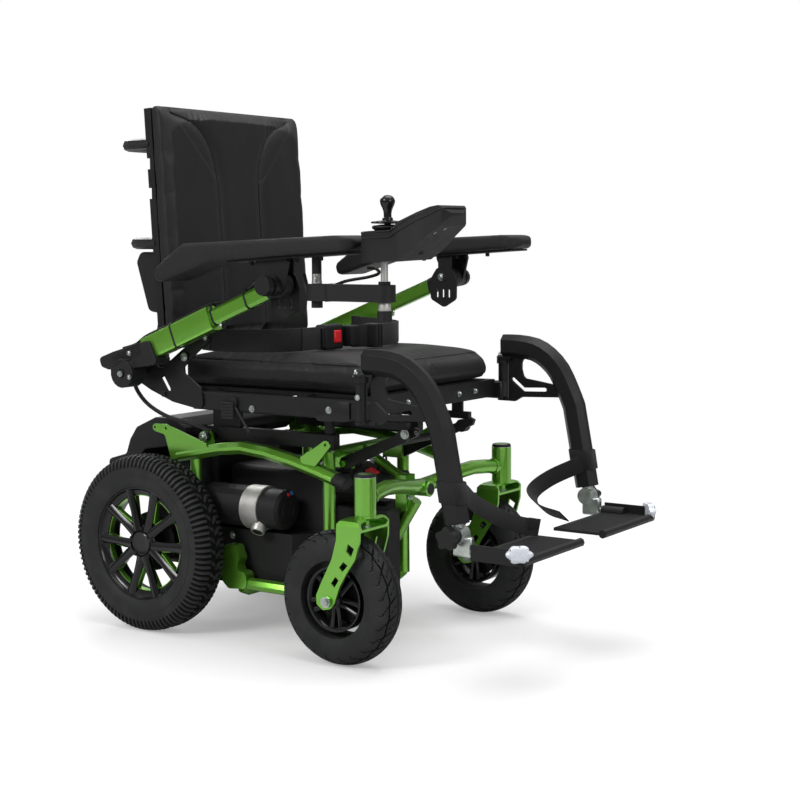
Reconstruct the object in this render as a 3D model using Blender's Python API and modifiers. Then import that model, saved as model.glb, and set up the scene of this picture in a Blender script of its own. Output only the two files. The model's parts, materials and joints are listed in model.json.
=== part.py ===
"""Powered wheelchair with a rocking front axle, tilting seat, reclining back, hinged arms and swing-away leg rests.

Metres, +Z up. The chair faces -Y, the occupant's right hand side is -X, and the wheels stand on Z = 0.
Every size is a named value below. Flat outlines are given as (y, z) pairs in the chair's side view.
"""

import math

import bmesh
import bpy
from mathutils import Matrix, Vector

# Clearances
SEAT_GAP = 0.0004
RUNNING_GAP = 0.0003
MERGE = 0.00001

# Drive wheels
DRIVE_AXLE = (0.368, 0.183)
DRIVE_RADIUS = 0.183
DRIVE_WIDTH = 0.077
DRIVE_TRACK = 0.2406
DRIVE_BEAD = 0.1166
DRIVE_RIM_HALF = 0.0265
DRIVE_SPOKES = 10
DRIVE_SEGMENTS = 24
DRIVE_HUB_RADIUS = 0.036
DRIVE_AXLE_RADIUS = 0.012

# Casters
CASTER_TRACK = 0.248
CASTER_STEM_Y = -0.190
CASTER_TRAIL = 0.056
CASTER_RADIUS = 0.130
CASTER_WIDTH = 0.070
CASTER_BEAD = 0.0625
CASTER_RIM_HALF = 0.028
CASTER_SPOKES = 6
CASTER_SEGMENTS = 20
CASTER_HUB_RADIUS = 0.017
CASTER_BOLT_RADIUS = 0.006
CASTER_BOLT_HEAD = 0.010

# Forks
FORK_HALF_WIDTH = 0.048
FORK_SHEET = 0.0048
FORK_TOP = 0.2893
FORK_CROWN_DEPTH = 0.0225
FORK_BOTTOM = 0.100
FORK_STEM_RADIUS = 0.0125
FORK_CAP_RADIUS = 0.0195
FORK_CAP_HEIGHT = 0.006
FORK_WASHER = 0.0030
FORK_ARM = (
    (-0.158, 0.300), (-0.157, 0.250), (-0.146, 0.212), (-0.121, 0.165), (-0.105, 0.132),
    (-0.115, 0.115), (-0.133, 0.112), (-0.149, 0.122), (-0.163, 0.160), (-0.180, 0.188),
    (-0.200, 0.216), (-0.210, 0.250), (-0.211, 0.300),
)
FORK_WINDOWS = (
    ((-0.184, 0.245), (-0.198, 0.237), (-0.191, 0.221), (-0.180, 0.230)),
    ((-0.173, 0.210), (-0.183, 0.204), (-0.171, 0.191), (-0.163, 0.198)),
    ((-0.154, 0.180), (-0.162, 0.174), (-0.152, 0.159), (-0.144, 0.166)),
)

# Front axle
HEAD_RADIUS = 0.021
HEAD_BOTTOM = 0.293
HEAD_TOP = 0.364
BEAM_TUBE_RADIUS = 0.0150
BEAM_END_INSET = 0.008
BEAM_ROUTE = (
    (CASTER_TRACK - BEAM_END_INSET, CASTER_STEM_Y + 0.002, 0.3230), (CASTER_TRACK - 0.092, CASTER_STEM_Y + 0.016, 0.3300),
    (0.078, -0.160, 0.3200),
)
BEAM_MIDDLE = (-0.152, 0.311)
ROCKER_PIVOT_Z = 0.306
BOSS_RADIUS = 0.0160
BOSS_FRONT = -0.1710
BOSS_REAR = -0.1240
PIVOT_PIN_RADIUS = 0.008
PIVOT_WASHER_RADIUS = 0.0120
PIVOT_WASHER = 0.0025

# Base frame
POST_X = 0.130
POST_Y = -0.0165
POST_RADIUS = 0.013
CROSS_TUBE = (0.000, 0.378)
CROSS_TUBE_RADIUS = 0.012
RAIL_X = 0.178
RAIL_Z = 0.108
RAIL_RADIUS = 0.013
RAIL_BEND_Y = 0.045
RAIL_REAR_Y = 0.175
CASTING = (
    (0.149, 0.100), (0.196, 0.096), (0.214, 0.112), (0.214, 0.150), (0.205, 0.187), (0.176, 0.187),
    (0.166, 0.160), (0.176, 0.138), (0.149, 0.131),
)
CASTING_WIDTH = 0.026
BELLY_Z = 0.0870
BELLY_RADIUS = 0.011
BELLY_CROSS_RADIUS = 0.0095
BELLY_REAR_Y = 0.170
DIAGONAL_TOP = (-0.137, 0.280)
DIAGONAL_FOOT = (-0.030, 0.1155)
DIAGONAL_RADIUS = 0.013
YOKE = ((-0.0165, -0.1236, 0.258), (0.0165, -0.098, 0.331))
YOKE_STRUT = ((-0.108, 0.320), (-0.004, 0.377))
YOKE_STRUT_RADIUS = 0.0105
LEVER_PIVOT = (-0.034, 0.360)
LEVER_X = 0.100
LEVER_LUG = 0.006
LEVER_LUG_X = 0.086
LEVER_PIN_RADIUS = 0.007

# Arched side beams
ARCH_X = 0.190
ARCH_WIDTH = 0.034
ARCH_HEIGHT = 0.0245
ARCH_CORNER = 0.009
CROSS_TUBE_REACH = ARCH_X - ARCH_WIDTH / 2 - SEAT_GAP
ARCH_ROUTE = (
    (0.322, 0.3605), (0.259, 0.3725), (0.152, 0.3890), (0.026, 0.3715), (-0.086, 0.3415),
    (-0.106, 0.3355),
)
BRACKET_THICK = 0.004
FRONT_BRACKET = ((0.013, 0.374), (-0.040, 0.405), (-0.062, 0.4195), (-0.074, 0.415), (-0.075, 0.407), (-0.037, 0.366))
FRONT_BRACKET_HOLE = (-0.063, 0.4105)
REAR_BRACKET = (
    (0.383, 0.4095), (0.391, 0.4170), (0.383, 0.4245), (0.352, 0.4255), (0.240, 0.3920), (0.236, 0.3700),
    (0.338, 0.3520), (0.345, 0.3750), (0.354, 0.4035),
)
REAR_BRACKET_HOLES = ((0.381, 0.417), (0.351, 0.4165))
BRACKET_HOLE_RADIUS = 0.003
TILT_PIVOT = (0.259, 0.404)
TILT_LUG_RADIUS = 0.0145
TILT_LUG_X = 0.175
TILT_LUG_THICK = 0.006
TILT_PIN_RADIUS = 0.006
STRUT_Y = 0.284
STRUT_RADIUS = 0.012
STRUT_FOOT = 0.3085
MOTOR_FOOT_X = (0.170, 0.199)
MOTOR_FOOT_Y = (0.272, 0.306)
MOTOR_FOOT_BOTTOM = 0.282

# Battery box
BOX_HALF_WIDTH = 0.155
BOX_BOTTOM = BELLY_Z + BELLY_RADIUS + SEAT_GAP
BOX_TOP = 0.214
BOX_REAR = 0.275
BOX_CORNER = (0.105, 0.012)
BOX_SHOULDER_Y = 0.062
NOSE_X = (0.0175, 0.0660)
NOSE_FRONT = {"right": -0.112, "left": -0.052}
NOSE_TOP = 0.2655
NECK_BOTTOM = 0.292
TOWER_HALF_WIDTH = 0.098
TOWER_TOP = 0.336
DOME_X = 0.045
DOME_Y = -0.028
DOME_RADIUS = 0.021
DOME_TOP = 0.350
HOOK_RADIUS = 0.0025
HOOK_HEIGHT = 0.013
LEVER_POST = (-0.046, -0.054, 0.3300)
LEVER_SEAT = ((-0.0565, -0.070, 0.318), (-0.0355, -0.0475, 0.3340))
NECK_FRONT = -0.0715
NECK_TOP = 0.3260

# Motors
MOTOR_X = 0.150
MOTOR_Z = 0.262
MOTOR_RADIUS = 0.0425
MOTOR_REAR = 0.290
MOTOR_BAND = (0.123, 0.165)
MOTOR_FRONT = 0.072
GEARBOX = ((0.112, 0.288, 0.130), (0.190, 0.425, 0.300))
GEARBOX_EDGE = 0.012
AXLE_REACH = 0.2270
PORT_Y = 0.130
PORT_RADIUS = 0.0135
PORT_REACH = 0.056

# Rear cover
COVER_HALF_WIDTH = 0.184
COVER = (
    (0.312, 0.4160), (0.347, 0.4345), (0.397, 0.4355), (0.452, 0.4115), (0.472, 0.3840), (0.484, 0.3520),
    (0.534, 0.3380), (0.537, 0.3220), (0.500, 0.3120), (0.450, 0.3160), (0.444, 0.3480), (0.428, 0.3660),
    (0.341, 0.3800), (0.316, 0.3980),
)
COVER_CORE_X = GEARBOX[0][0] - SEAT_GAP
COVER_CORE = ((-COVER_CORE_X, 0.296, 0.145), (COVER_CORE_X, 0.478, 0.385))

# Seat frame
SEAT_RAIL_OUTER = 0.255
SEAT_RAIL_WIDTH = 0.025
SEAT_RAIL_BOTTOM = 0.469
SEAT_RAIL_TOP = 0.505
SEAT_RAIL_FRONT = -0.200
SEAT_RAIL_REAR = 0.230
CROSS_RAILS = ((-0.182, -0.160), (-0.046, -0.020), (0.188, 0.224))
CROSS_RAIL_BOTTOM = 0.473
PAN_HALF_WIDTH = 0.212
PAN_TOP = 0.5115
PAN_THICK = 0.006
PAN_Y = (-0.172, 0.288)
UNDER_RAIL_X = (0.138, 0.158)
UNDER_RAIL_Z = (0.3950, 0.4230)
UNDER_RAIL_Y = (-0.050, 0.276)
WEB_X = (0.143, 0.153)
RUNNER_X = (0.1055, 0.1180)
RUNNER_Z = (0.4380, 0.4520)
RUNNER_Y = (-0.196, -0.021)
HANGER_POST = (0.257, -0.190)
HANGER_POST_RADIUS = 0.011
HANGER_POST_BOTTOM = 0.4690
HANGER_POST_CAP_RADIUS = 0.0145
HANGER_POST_CAP_BOTTOM = 0.5415
HANGER_POST_TOP = 0.552
HANGER_PIN_RADIUS = 0.006
HANGER_PIN_DEPTH = 0.030

# Side plates
SIDE_PLATE_THICK = 0.004
SIDE_PLATE = (
    (0.336, 0.502), (0.376, 0.521), (0.387, 0.540), (0.378, 0.562), (0.356, 0.570), (0.330, 0.561), (0.308, 0.546),
    (0.250, 0.587), (0.194, 0.626), (0.179, 0.622), (0.177, 0.607), (0.229, 0.568), (0.252, 0.545), (0.201, 0.513),
    (0.196, 0.476), (0.210, 0.470), (0.277, 0.481),
)
SIDE_PLATE_SLOT = ((0.303, 0.530), (0.287, 0.506))
SIDE_PLATE_SLOT_RADIUS = 0.0045
BELT_BOLT = (0.190, 0.614)
PLATE_BOLTS = (BELT_BOLT, (0.242, 0.573), (0.300, 0.497))
PLATE_BOLT_RADIUS = 0.007
PLATE_BOLT_HEAD = 0.0065
BACK_PIVOT = (0.355, 0.540)
BACK_PIN_RADIUS = 0.0075
BACK_PIN_INNER = 0.2050
BACK_PIN_OUTER = 0.3260

# Seat cushion
CUSHION_HALF_WIDTH = 0.2150
CUSHION_BOTTOM = 0.5120
CUSHION_FRONT = -0.183
CUSHION_REAR = 0.290
CUSHION_TOP = 0.577
CUSHION_CROWN = 0.007

# Back
BACK_SLOPE = 0.0586
BACK_FRONT_Y = 0.310
BACK_FRONT_Z = 0.8125
BACK_CUSHION_THICK = 0.032
BACK_CUSHION_BOTTOM = 0.596
BACK_CUSHION_HALF = 0.230
BACK_CUSHION_HALF_TOP = 0.226
BACK_RAIL_X = 0.215
BACK_RAIL_THICK = 0.012
BACK_RAIL_DEPTH = 0.018
BACK_RAIL_BOTTOM = 0.600
BACK_RAIL_TOP = 1.072
CUSHION_OVER_RAIL = 0.009
BACK_CUSHION_TOP = BACK_RAIL_TOP + CUSHION_OVER_RAIL
BACK_LUG_RADIUS = 0.019
BACK_LUG_TOP = 0.640
BACK_BARS = (BACK_RAIL_BOTTOM + 0.045, BACK_RAIL_BOTTOM + 0.115, BACK_RAIL_BOTTOM + 0.260, BACK_RAIL_TOP - 0.037)
BACK_BAR_HEIGHT = 0.028
BACK_BAR_THICK = 0.010
BACK_BAR_SET = 0.001
PUSH_BAR_RADIUS = 0.012
PUSH_BARS = ((BACK_RAIL_TOP - 0.072, 0.466), (BACK_RAIL_BOTTOM + 0.1985, 0.449))
PUSH_BAR_BEND = 0.040
NOTCHES = (BACK_RAIL_BOTTOM + 0.100, BACK_RAIL_BOTTOM + 0.160, BACK_RAIL_TOP - 0.172, BACK_RAIL_TOP - 0.112)
NOTCH_HEIGHT = 0.022
NOTCH_DEPTH = 0.007
BACK_COVER_REAR = ((0.4190, 0.7810), (0.4310, 0.7600), (0.3990, 0.6580))
BACK_COVER_Z = (0.6520, 0.7800)
BACK_COVER_HALF = 0.196

# Arms
ARM_X = 0.294
ARM_HUB = (-0.032, 0.7205)
ARM_FOOT = (0.345, 0.5725)
ARM_LOWER_HEIGHT = 0.049
ARM_LOWER_WIDTH = 0.031
ARM_UPPER_HEIGHT = 0.0315
ARM_UPPER_WIDTH = 0.024
ARM_STEP = 0.56
ARM_CORNER = 0.007
ARM_HUB_RADIUS = 0.0225
ARM_HUB_HALF = 0.0115
CAP_X = (0.2735, 0.3165)
CAP_OUTLINE = (
    (0.424, 0.568), (0.384, 0.582), (0.287, 0.6085), (0.264, 0.562), (0.322, 0.552), (0.398, 0.545), (0.417, 0.550),
)
CAP_HUB_RADIUS = 0.0295
CAP_HUB_X = (0.2850, 0.3240)
PAD_PIN_RADIUS = 0.007
PAD_KNOB_RADIUS = 0.020
PAD_KNOB_X = (0.3355, 0.3490)
PAD_DRUM_RADIUS = 0.0205
PAD_DRUM_X = (0.3060, 0.3300)
PAD_PLATE_HALF = 0.032
PAD_PLATE_THICK = 0.004
PAD_PLATE_Y = (-0.208, 0.070)
PAD_WEB = ((-0.070, 0.7728), (0.016, 0.7676), (-0.006, 0.716), (-0.020, 0.701), (-0.044, 0.702), (-0.056, 0.718))
PAD_WEB_X = (0.3090, 0.3150)
COMB_X = 0.2740
COMB_THICK = 0.005
COMB = (
    (0.006, 0.716), (-0.012, 0.742), (-0.052, 0.742), (-0.062, 0.716), (-0.061, 0.674), (-0.030, 0.656), (0.004, 0.674),
)
COMB_SLOTS = (-0.013, -0.028, -0.043)
COMB_SLOT_Z = (0.679, 0.694)
COMB_SLOT_RADIUS = 0.0028
COMB_LINK = ((-0.050, 0.7716), (-0.014, 0.7695), (-0.016, 0.730), (-0.048, 0.730))
PAD_HALF_WIDTH = 0.045
PAD_TOP = ((0.249, 0.750), (0.175, 0.799), (-0.189, 0.813))
PAD_NOSE = ((-0.216, 0.811), (-0.226, 0.801), (-0.225, 0.791), (-0.214, 0.784))
PAD_UNDER = ((0.099, 0.765), (0.232, 0.7240), (0.247, 0.7280))
PAD_EDGE = 0.010
PAD_NOSE_ROUND = 0.038
PAD_NOSE_START = 0.0005

# Joystick
STICK_X = -0.294
LINK_PIVOT_Y = -0.118
LINK_FRONT_Y = -0.270
LINK_Z = (0.6930, 0.7240)
LINK_REAR_RADIUS = 0.0200
LINK_FRONT_RADIUS = 0.0205
LINK_WAIST = 0.0145
LINK_PIN_RADIUS = 0.006
LINK_COLLAR_RADIUS = 0.009
LINK_HEAD_RADIUS = 0.0105
LINK_HEAD_Z = (0.6800, 0.6925)
POST_PIN_RADIUS = 0.0065
COLLAR_RADIUS = 0.011
POST_KNOB_RADIUS = 0.0135
POST_KNOB_Z = (0.6580, 0.6770)
PANEL_REAR = (-0.2275, 0.8180)
PANEL_BREAK = (-0.3000, 0.8220)
PANEL_FRONT = (-0.3980, 0.8610)
SHELL_UNDER = (
    (-0.414, 0.864), (-0.427, 0.848), (-0.416, 0.828), (-0.389, 0.809), (-0.360, 0.785), (-0.336, 0.769), (-0.241, 0.763),
    (-0.2275, 0.780),
)
SHELL_REAR_RADIUS = 0.0415
SHELL_HALF_WIDTH = 0.052
SHELL_NOSE_HALF = 0.040
SHELL_WAIST_Y = (-0.335, -0.375)
SHELL_CORNER_Y = -0.418
SHELL_TIP = (0.015, -0.4268)
SHELL_SPAN = 2 * (SHELL_HALF_WIDTH + 0.03)
STICK_Y = -0.278
STICK_PIVOT_Z = 0.8195
GIMBAL_RADIUS = 0.0062
BOOT_RADIUS = 0.0285
BOOT_HOLE = 0.0110
BOOT_Z = (0.8213, 0.8265)
DISC_RADIUS = 0.0300
DISC_Z = 0.8360
DISC_THICK = 0.0022
BALL_RADIUS = 0.0135
BALL_Z = 0.8705
NECK_RADIUS = 0.0065
BUTTON_RADIUS = 0.0042
BUTTON_HEIGHT = 0.0042
BUTTON_POCKET = 0.0045
BUTTON_SPACING = 0.018
BUTTON_ALONG = 0.62

# Leg rests
HANGER_X = 0.2500
HANGER_WIDTH = 0.033
HANGER_DEPTH = 0.048
HANGER_CORNER = 0.011
HANGER_ROUTE = (
    (-0.196, 0.5795), (-0.231, 0.5795), (-0.271, 0.5740), (-0.302, 0.5575), (-0.3285, 0.5310), (-0.3490, 0.4930),
    (-0.3635, 0.4600),
)
LEG_LEAN = 0.171
LEG_POINT = (-0.3734, 0.420)
LEG_END_Z = 0.296
HANGER_PLATE_THICK = 0.006
HANGER_PLATE = (
    (-0.2085, 0.570), (-0.2085, 0.4630), (-0.224, 0.4630), (-0.241, 0.4730), (-0.355, 0.4775), (-0.361, 0.500), (-0.330, 0.530),
    (-0.270, 0.574),
)
HANGER_WINDOW = (
    (-0.2400, 0.548), (-0.2520, 0.560), (-0.282, 0.5500), (-0.3175, 0.5245), (-0.333, 0.500), (-0.282, 0.5080),
    (-0.2450, 0.513), (-0.2395, 0.532),
)
HANGER_SLOT = ((-0.2190, 0.5100), (-0.2460, 0.4890), (-0.2960, 0.4910))
HANGER_SLOT_RADIUS = 0.0042
LUG_THICK = 0.005
FOOT_TUBE_RADIUS = 0.0110
FOOT_TUBE_TOP = 0.400
FOOT_SOCKET_TOP = 0.408
KNUCKLE = (-0.3965, 0.277)
KNUCKLE_RADIUS = 0.0165
KNUCKLE_X = (0.234, 0.262)
FOOT_ARM = ((0.240, -0.4265, 0.238), (0.256, -0.387, 0.274))
FLIP_AXIS = (0.250, 0.2495)
FLIP_PIN_RADIUS = 0.0053
FLIP_PIN_END = -0.474
FLIP_BARREL_RADIUS = 0.0100
STAR_CENTRE = (-0.390, 0.273)
STAR_RADIUS = 0.0195
STAR_LOBE = 0.0030
STAR_X = (0.2670, 0.2835)
STAR_PIN_RADIUS = 0.004
PLATE_INNER = 0.042
PLATE_OUTER = 0.2630
PLATE_Y = (-0.530, -0.4305)
PLATE_Z = (0.2405, 0.2465)
FLANGE_Z = (0.235, 0.264)
FLANGE_THICK = 0.005
FRONT_BAR = (-0.5355, 0.2430)
FRONT_BAR_RADIUS = 0.0085
REFLECTOR = (0.2600, -0.5288, 0.2565)
REFLECTOR_SIZE = (0.0220, 0.0140)
REFLECTOR_TURN = 48
STRAP_THICK = 0.0025
STRAP_HEIGHT = 0.034
STRAP_ROUTE = {
    "right": ((0.2328, -0.400, 0.350), (0.190, -0.396, 0.324), (0.130, -0.408, 0.292), (0.088, -0.432, 0.272), (0.062, -0.455, 0.2655)),
    "left": ((0.2318, -0.392, 0.345), (0.196, -0.335, 0.314), (0.148, -0.322, 0.288), (0.098, -0.375, 0.270), (0.066, -0.440, 0.2655)),
}

# Belts
BELT_THICK = 0.0025
BELT_HEIGHT = 0.046
BELT_RIGHT = (
    (-0.2520, 0.200, 0.611), (-0.2500, 0.170, 0.609), (-0.2370, 0.120, 0.608), (-0.2020, 0.062, 0.608),
    (-0.1500, 0.036, 0.608), (-0.0800, 0.034, 0.608),
)
BELT_LEFT = (
    (0.2520, 0.200, 0.611), (0.2500, 0.170, 0.609), (0.2350, 0.110, 0.608), (0.1900, 0.040, 0.608),
    (0.1200, -0.004, 0.608), (0.0400, -0.010, 0.608), (-0.0120, 0.012, 0.608),
)
BUCKLE = ((-0.088, 0.020, 0.583), (-0.026, 0.048, 0.634))
BUCKLE_EDGE = 0.006
TONGUE = ((-0.0220, 0.000, 0.586), (0.000, 0.030, 0.632))
ADJUSTER = ((0.020, -0.030, 0.584), (0.046, 0.006, 0.633))
PRESS_X = (-0.060, -0.036)
PRESS_Z = (0.596, 0.622)
PRESS_Y = (0.0175, 0.0245)
PRESS_POCKET_Y = 0.0285

# Levers
SEAT_LEVER_HUB = (0.120, 0.487)
SEAT_LEVER_HUB_RADIUS = 0.011
SEAT_LEVER_X = (0.2555, 0.2615)
SEAT_LEVER_PIN = 0.0035
SEAT_LEVER_TIP = (0.080, 0.434)
SEAT_LEVER_BAR = 0.0028
ROLLER = (-0.182, 0.424)
ROLLER_RADIUS = 0.0135
ROLLER_X = (0.0995, 0.1165)
LEVER_TIP = (-0.210, 0.434)
LEVER_THICK = 0.009
LEVER_DEPTH = 0.026
RED_LEVER_SIZE = (0.010, 0.024, 0.011)

# Cables
CABLE_RADIUS = 0.0042
CABLE_SMALL_RADIUS = 0.0030
CABLE_LOWER_ROUTE = (
    (-0.2639, 0.3740, 0.5500), (-0.2639, 0.3785, 0.5300), (-0.2630, 0.3720, 0.5020), (-0.2560, 0.3480, 0.4720),
    (-0.2400, 0.3120, 0.4480), (-0.2200, 0.2680, 0.4340), (-0.2040, 0.2300, 0.4200),
)
CABLE_ARM_ROUTE = (
    (-0.2900, 0.3800, 0.5873), (-0.2900, 0.3450, 0.5970), (-0.2900, 0.3163, 0.6141), (-0.2900, 0.2600, 0.6359),
    (-0.2900, 0.2000, 0.6595), (-0.2900, 0.1450, 0.6816), (-0.2900, 0.1050, 0.6882), (-0.2900, 0.0600, 0.7060),
    (-0.2860, 0.0370, 0.7225), (-0.2680, 0.0250, 0.7480),
)
CABLE_STICK_ROUTE = (
    (-0.2700, -0.0700, 0.7420), (-0.2680, -0.0770, 0.7150), (-0.2690, -0.0860, 0.7040), (-0.2704, -0.1160, 0.7100),
    (-0.2740, -0.1650, 0.7280), (-0.2700, -0.2170, 0.7370), (-0.2720, -0.2420, 0.7440), (-0.2700, -0.2350, 0.7520),
    (-0.2690, -0.2160, 0.7540),
)
CABLE_STEPS = 2

RIGHT, LEFT = -1, 1
SIDES = (("right", RIGHT), ("left", LEFT))


def clear_scene():
    for obj in list(bpy.data.objects):
        bpy.data.objects.remove(obj)


def new_collection(name, helper=False):
    collection = bpy.data.collections.new(name)
    bpy.context.scene.collection.children.link(collection)
    collection.hide_render = helper
    return collection


clear_scene()
PARTS = new_collection("powered_wheelchair")
JOINED = new_collection("joined_shapes", helper=True)
CUTTERS = new_collection("cutters", helper=True)


def paint(name, colour, roughness, metallic=0.0):
    material = bpy.data.materials.new(name)
    material.use_nodes = True
    shader = material.node_tree.nodes["Principled BSDF"]
    shader.inputs["Base Color"].default_value = (*colour, 1.0)
    shader.inputs["Roughness"].default_value = roughness
    shader.inputs["Metallic"].default_value = metallic
    return material


GREEN = ((0.10, 0.42, 0.02), 0.28, 0.55)
BLACK_PAINT = ((0.018, 0.018, 0.019), 0.42, 0.1)
BLACK_PLASTIC = ((0.020, 0.020, 0.021), 0.55, 0.0)
GLOSS_BLACK = ((0.012, 0.012, 0.013), 0.18, 0.0)
RUBBER = ((0.030, 0.031, 0.034), 0.72, 0.0)
UPHOLSTERY = ((0.014, 0.014, 0.015), 0.48, 0.0)
WEBBING = ((0.016, 0.016, 0.017), 0.85, 0.0)
ZINC = ((0.62, 0.64, 0.64), 0.32, 1.0)
RED = ((0.62, 0.015, 0.02), 0.35, 0.0)
LIGHT_GREY = ((0.55, 0.55, 0.56), 0.45, 0.0)


def node(name, finish, shape, join=(), cut=(), smooth=35):
    """Names a shape as one sub-part, with its own material, and joins or cuts it with other shapes."""
    shape.name = name
    shape.data.name = name
    shape.data.materials.clear()
    shape.data.materials.append(paint(name, *finish))
    if smooth and shape.type == "MESH":
        shape.data.shade_smooth()
        shape.data.set_sharp_from_angle(angle=math.radians(smooth))
    PARTS.objects.link(shape)
    for others, holder, operation in ((join, JOINED, "UNION"), (cut, CUTTERS, "DIFFERENCE")):
        for number, other in enumerate(others, 1):
            other.name = f"{name}_{operation.lower()}_{number}"
            other.display_type = "WIRE"
            other.hide_render = True
            holder.objects.link(other)
            modifier = shape.modifiers.new(f"{operation} {number}", "BOOLEAN")
            modifier.operation = operation
            modifier.solver = "EXACT"
            modifier.object = other
    return shape


def shape_of(bm, turn=None, warped=False):
    """A free object from a bmesh, with its faces pointing out; warped four-sided faces are split for the Booleans."""
    if warped:
        bmesh.ops.triangulate(bm, faces=bm.faces)
    if turn is not None:
        bmesh.ops.transform(bm, matrix=turn, verts=bm.verts)
    bmesh.ops.recalc_face_normals(bm, faces=bm.faces)
    mesh = bpy.data.meshes.new("shape")
    bm.to_mesh(mesh)
    bm.free()
    return bpy.data.objects.new("shape", mesh)


def box(corner_a, corner_b, edge=0.0, segments=1, turn=None):
    low = Vector(min(pair) for pair in zip(corner_a, corner_b))
    high = Vector(max(pair) for pair in zip(corner_a, corner_b))
    bm = bmesh.new()
    bmesh.ops.create_cube(bm, size=1.0)
    bmesh.ops.scale(bm, vec=high - low, verts=bm.verts)
    if edge:
        bmesh.ops.bevel(bm, geom=bm.edges[:], offset=edge, segments=segments, profile=0.5, affect="EDGES")
    bmesh.ops.translate(bm, vec=(high + low) / 2, verts=bm.verts)
    return shape_of(bm, turn)


def side_box(side, x_range, y_range, z_range, edge=0.0, turn=None):
    return box((side * x_range[0], y_range[0], z_range[0]), (side * x_range[1], y_range[1], z_range[1]), edge, turn=turn)


def mirrored(side, corners):
    return [(side * x, y, z) for x, y, z in corners]


def rod(start, end, radius, end_radius=None, sides=12):
    start, end = Vector(start), Vector(end)
    along = end - start
    bm = bmesh.new()
    bmesh.ops.create_cone(
        bm, cap_ends=True, segments=sides, radius1=radius, radius2=end_radius or radius, depth=along.length
    )
    matrix = Matrix.Translation((start + end) / 2) @ along.to_track_quat("Z", "Y").to_matrix().to_4x4()
    return shape_of(bm, matrix)


def ball(centre, radius, squash=(1, 1, 1), segments=16, rings=10):
    bm = bmesh.new()
    bmesh.ops.create_uvsphere(bm, u_segments=segments, v_segments=rings, radius=radius)
    bmesh.ops.scale(bm, vec=squash, verts=bm.verts)
    bmesh.ops.translate(bm, vec=centre, verts=bm.verts)
    return shape_of(bm)


def turned(profile, centre, axis, sides=24):
    """A Screw of a profile of (radius, height) pairs, listed down its outer side, round an axis through the centre."""
    mesh = bpy.data.meshes.new("shape")
    closed = min(radius for radius, _ in profile) > 0
    count = len(profile)
    edges = [(i, (i + 1) % count) for i in range(count if closed else count - 1)]
    mesh.from_pydata([(radius, 0.0, height) for radius, height in profile], edges, [])
    shape = bpy.data.objects.new("shape", mesh)
    shape.matrix_world = Matrix.Translation(centre) @ Vector(axis).to_track_quat("Z", "Y").to_matrix().to_4x4()
    screw = shape.modifiers.new("Screw", "SCREW")
    screw.axis = "Z"
    screw.steps = screw.render_steps = sides
    screw.use_merge_vertices = True
    screw.merge_threshold = 0.0001
    screw.use_smooth_shade = True
    return shape


def rounded(outline, radius, steps=3):
    """The outline with its corners eased, each as far as its two sides allow."""
    result = []
    count = len(outline)
    for i, corner in enumerate(Vector(point) for point in outline):
        before = Vector(outline[i - 1]) - corner
        after = Vector(outline[(i + 1) % count]) - corner
        half = max(before.angle(after) / 2, 0.05)
        reach = min(radius / math.tan(half), 0.45 * before.length, 0.45 * after.length)
        start = corner + before.normalized() * reach
        end = corner + after.normalized() * reach
        for k in range(steps + 1):
            t = k / steps
            point = start * (1 - t) ** 2 + corner * 2 * t * (1 - t) + end * t * t
            result.append((point.x, point.y))
    return result


def circle(centre, radius, sides=12):
    return [
        (centre[0] + radius * math.cos(2 * math.pi * k / sides), centre[1] + radius * math.sin(2 * math.pi * k / sides))
        for k in range(sides)
    ]


def bore_radius(pin_radius, sides=12):
    """The corner radius of a faceted bore that a pin of this radius turns in freely."""
    return (pin_radius + RUNNING_GAP) / math.cos(math.pi / sides)


def slot(points, radius, steps=4):
    """The outline of a round-ended slot along two or more points."""
    line = [Vector(point) for point in points]
    sides = []
    for direction in (1, -1):
        route = line[::direction]
        tangents = [(b - a).normalized() for a, b in zip(route, route[1:])]
        for i, point in enumerate(route):
            before = tangents[max(i - 1, 0)]
            after = tangents[min(i, len(tangents) - 1)]
            normal = (before + after).normalized().orthogonal()
            if i < len(route) - 1:
                sides.append(point + normal * radius)
        last = tangents[-1]
        for k in range(steps + 1):
            angle = math.pi / 2 - math.pi * k / steps
            sides.append(route[-1] + last * (radius * math.cos(angle)) + last.orthogonal() * (radius * math.sin(angle)))
        sides.pop()
    return [(point.x, point.y) for point in sides]


def smooth_line(points, steps=3):
    """A smooth curve read through the points, ends included."""
    line = [Vector(point) for point in points]
    ends = [2 * line[0] - line[1], *line, 2 * line[-1] - line[-2]]
    result = []
    for a, b, c, d in zip(ends, ends[1:], ends[2:], ends[3:]):
        for k in range(steps):
            t = k / steps
            result.append(
                ((2 * b) + (c - a) * t + (2 * a - 5 * b + 4 * c - d) * t**2 + (3 * b - a - 3 * c + d) * t**3) / 2
            )
    return [*result, line[-1]]


def filled_mesh(curve, matrix, warped=False):
    """The curve's filled mesh as a free shape, its caps welded to its sides."""
    source = bpy.data.objects.new("route", curve)
    bpy.context.scene.collection.objects.link(source)
    graph = bpy.context.evaluated_depsgraph_get()
    mesh = bpy.data.meshes.new_from_object(source.evaluated_get(graph))
    bpy.data.objects.remove(source)
    bm = bmesh.new()
    bm.from_mesh(mesh)
    bmesh.ops.remove_doubles(bm, verts=bm.verts, dist=MERGE)
    return shape_of(bm, matrix, warped)


PLANES = {
    "YZ": Matrix(((0, 0, 1, 0), (1, 0, 0, 0), (0, 1, 0, 0), (0, 0, 0, 1))),
    "XZ": Matrix(((1, 0, 0, 0), (0, 0, -1, 0), (0, 1, 0, 0), (0, 0, 0, 1))),
    "XY": Matrix.Identity(4),
}


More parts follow.
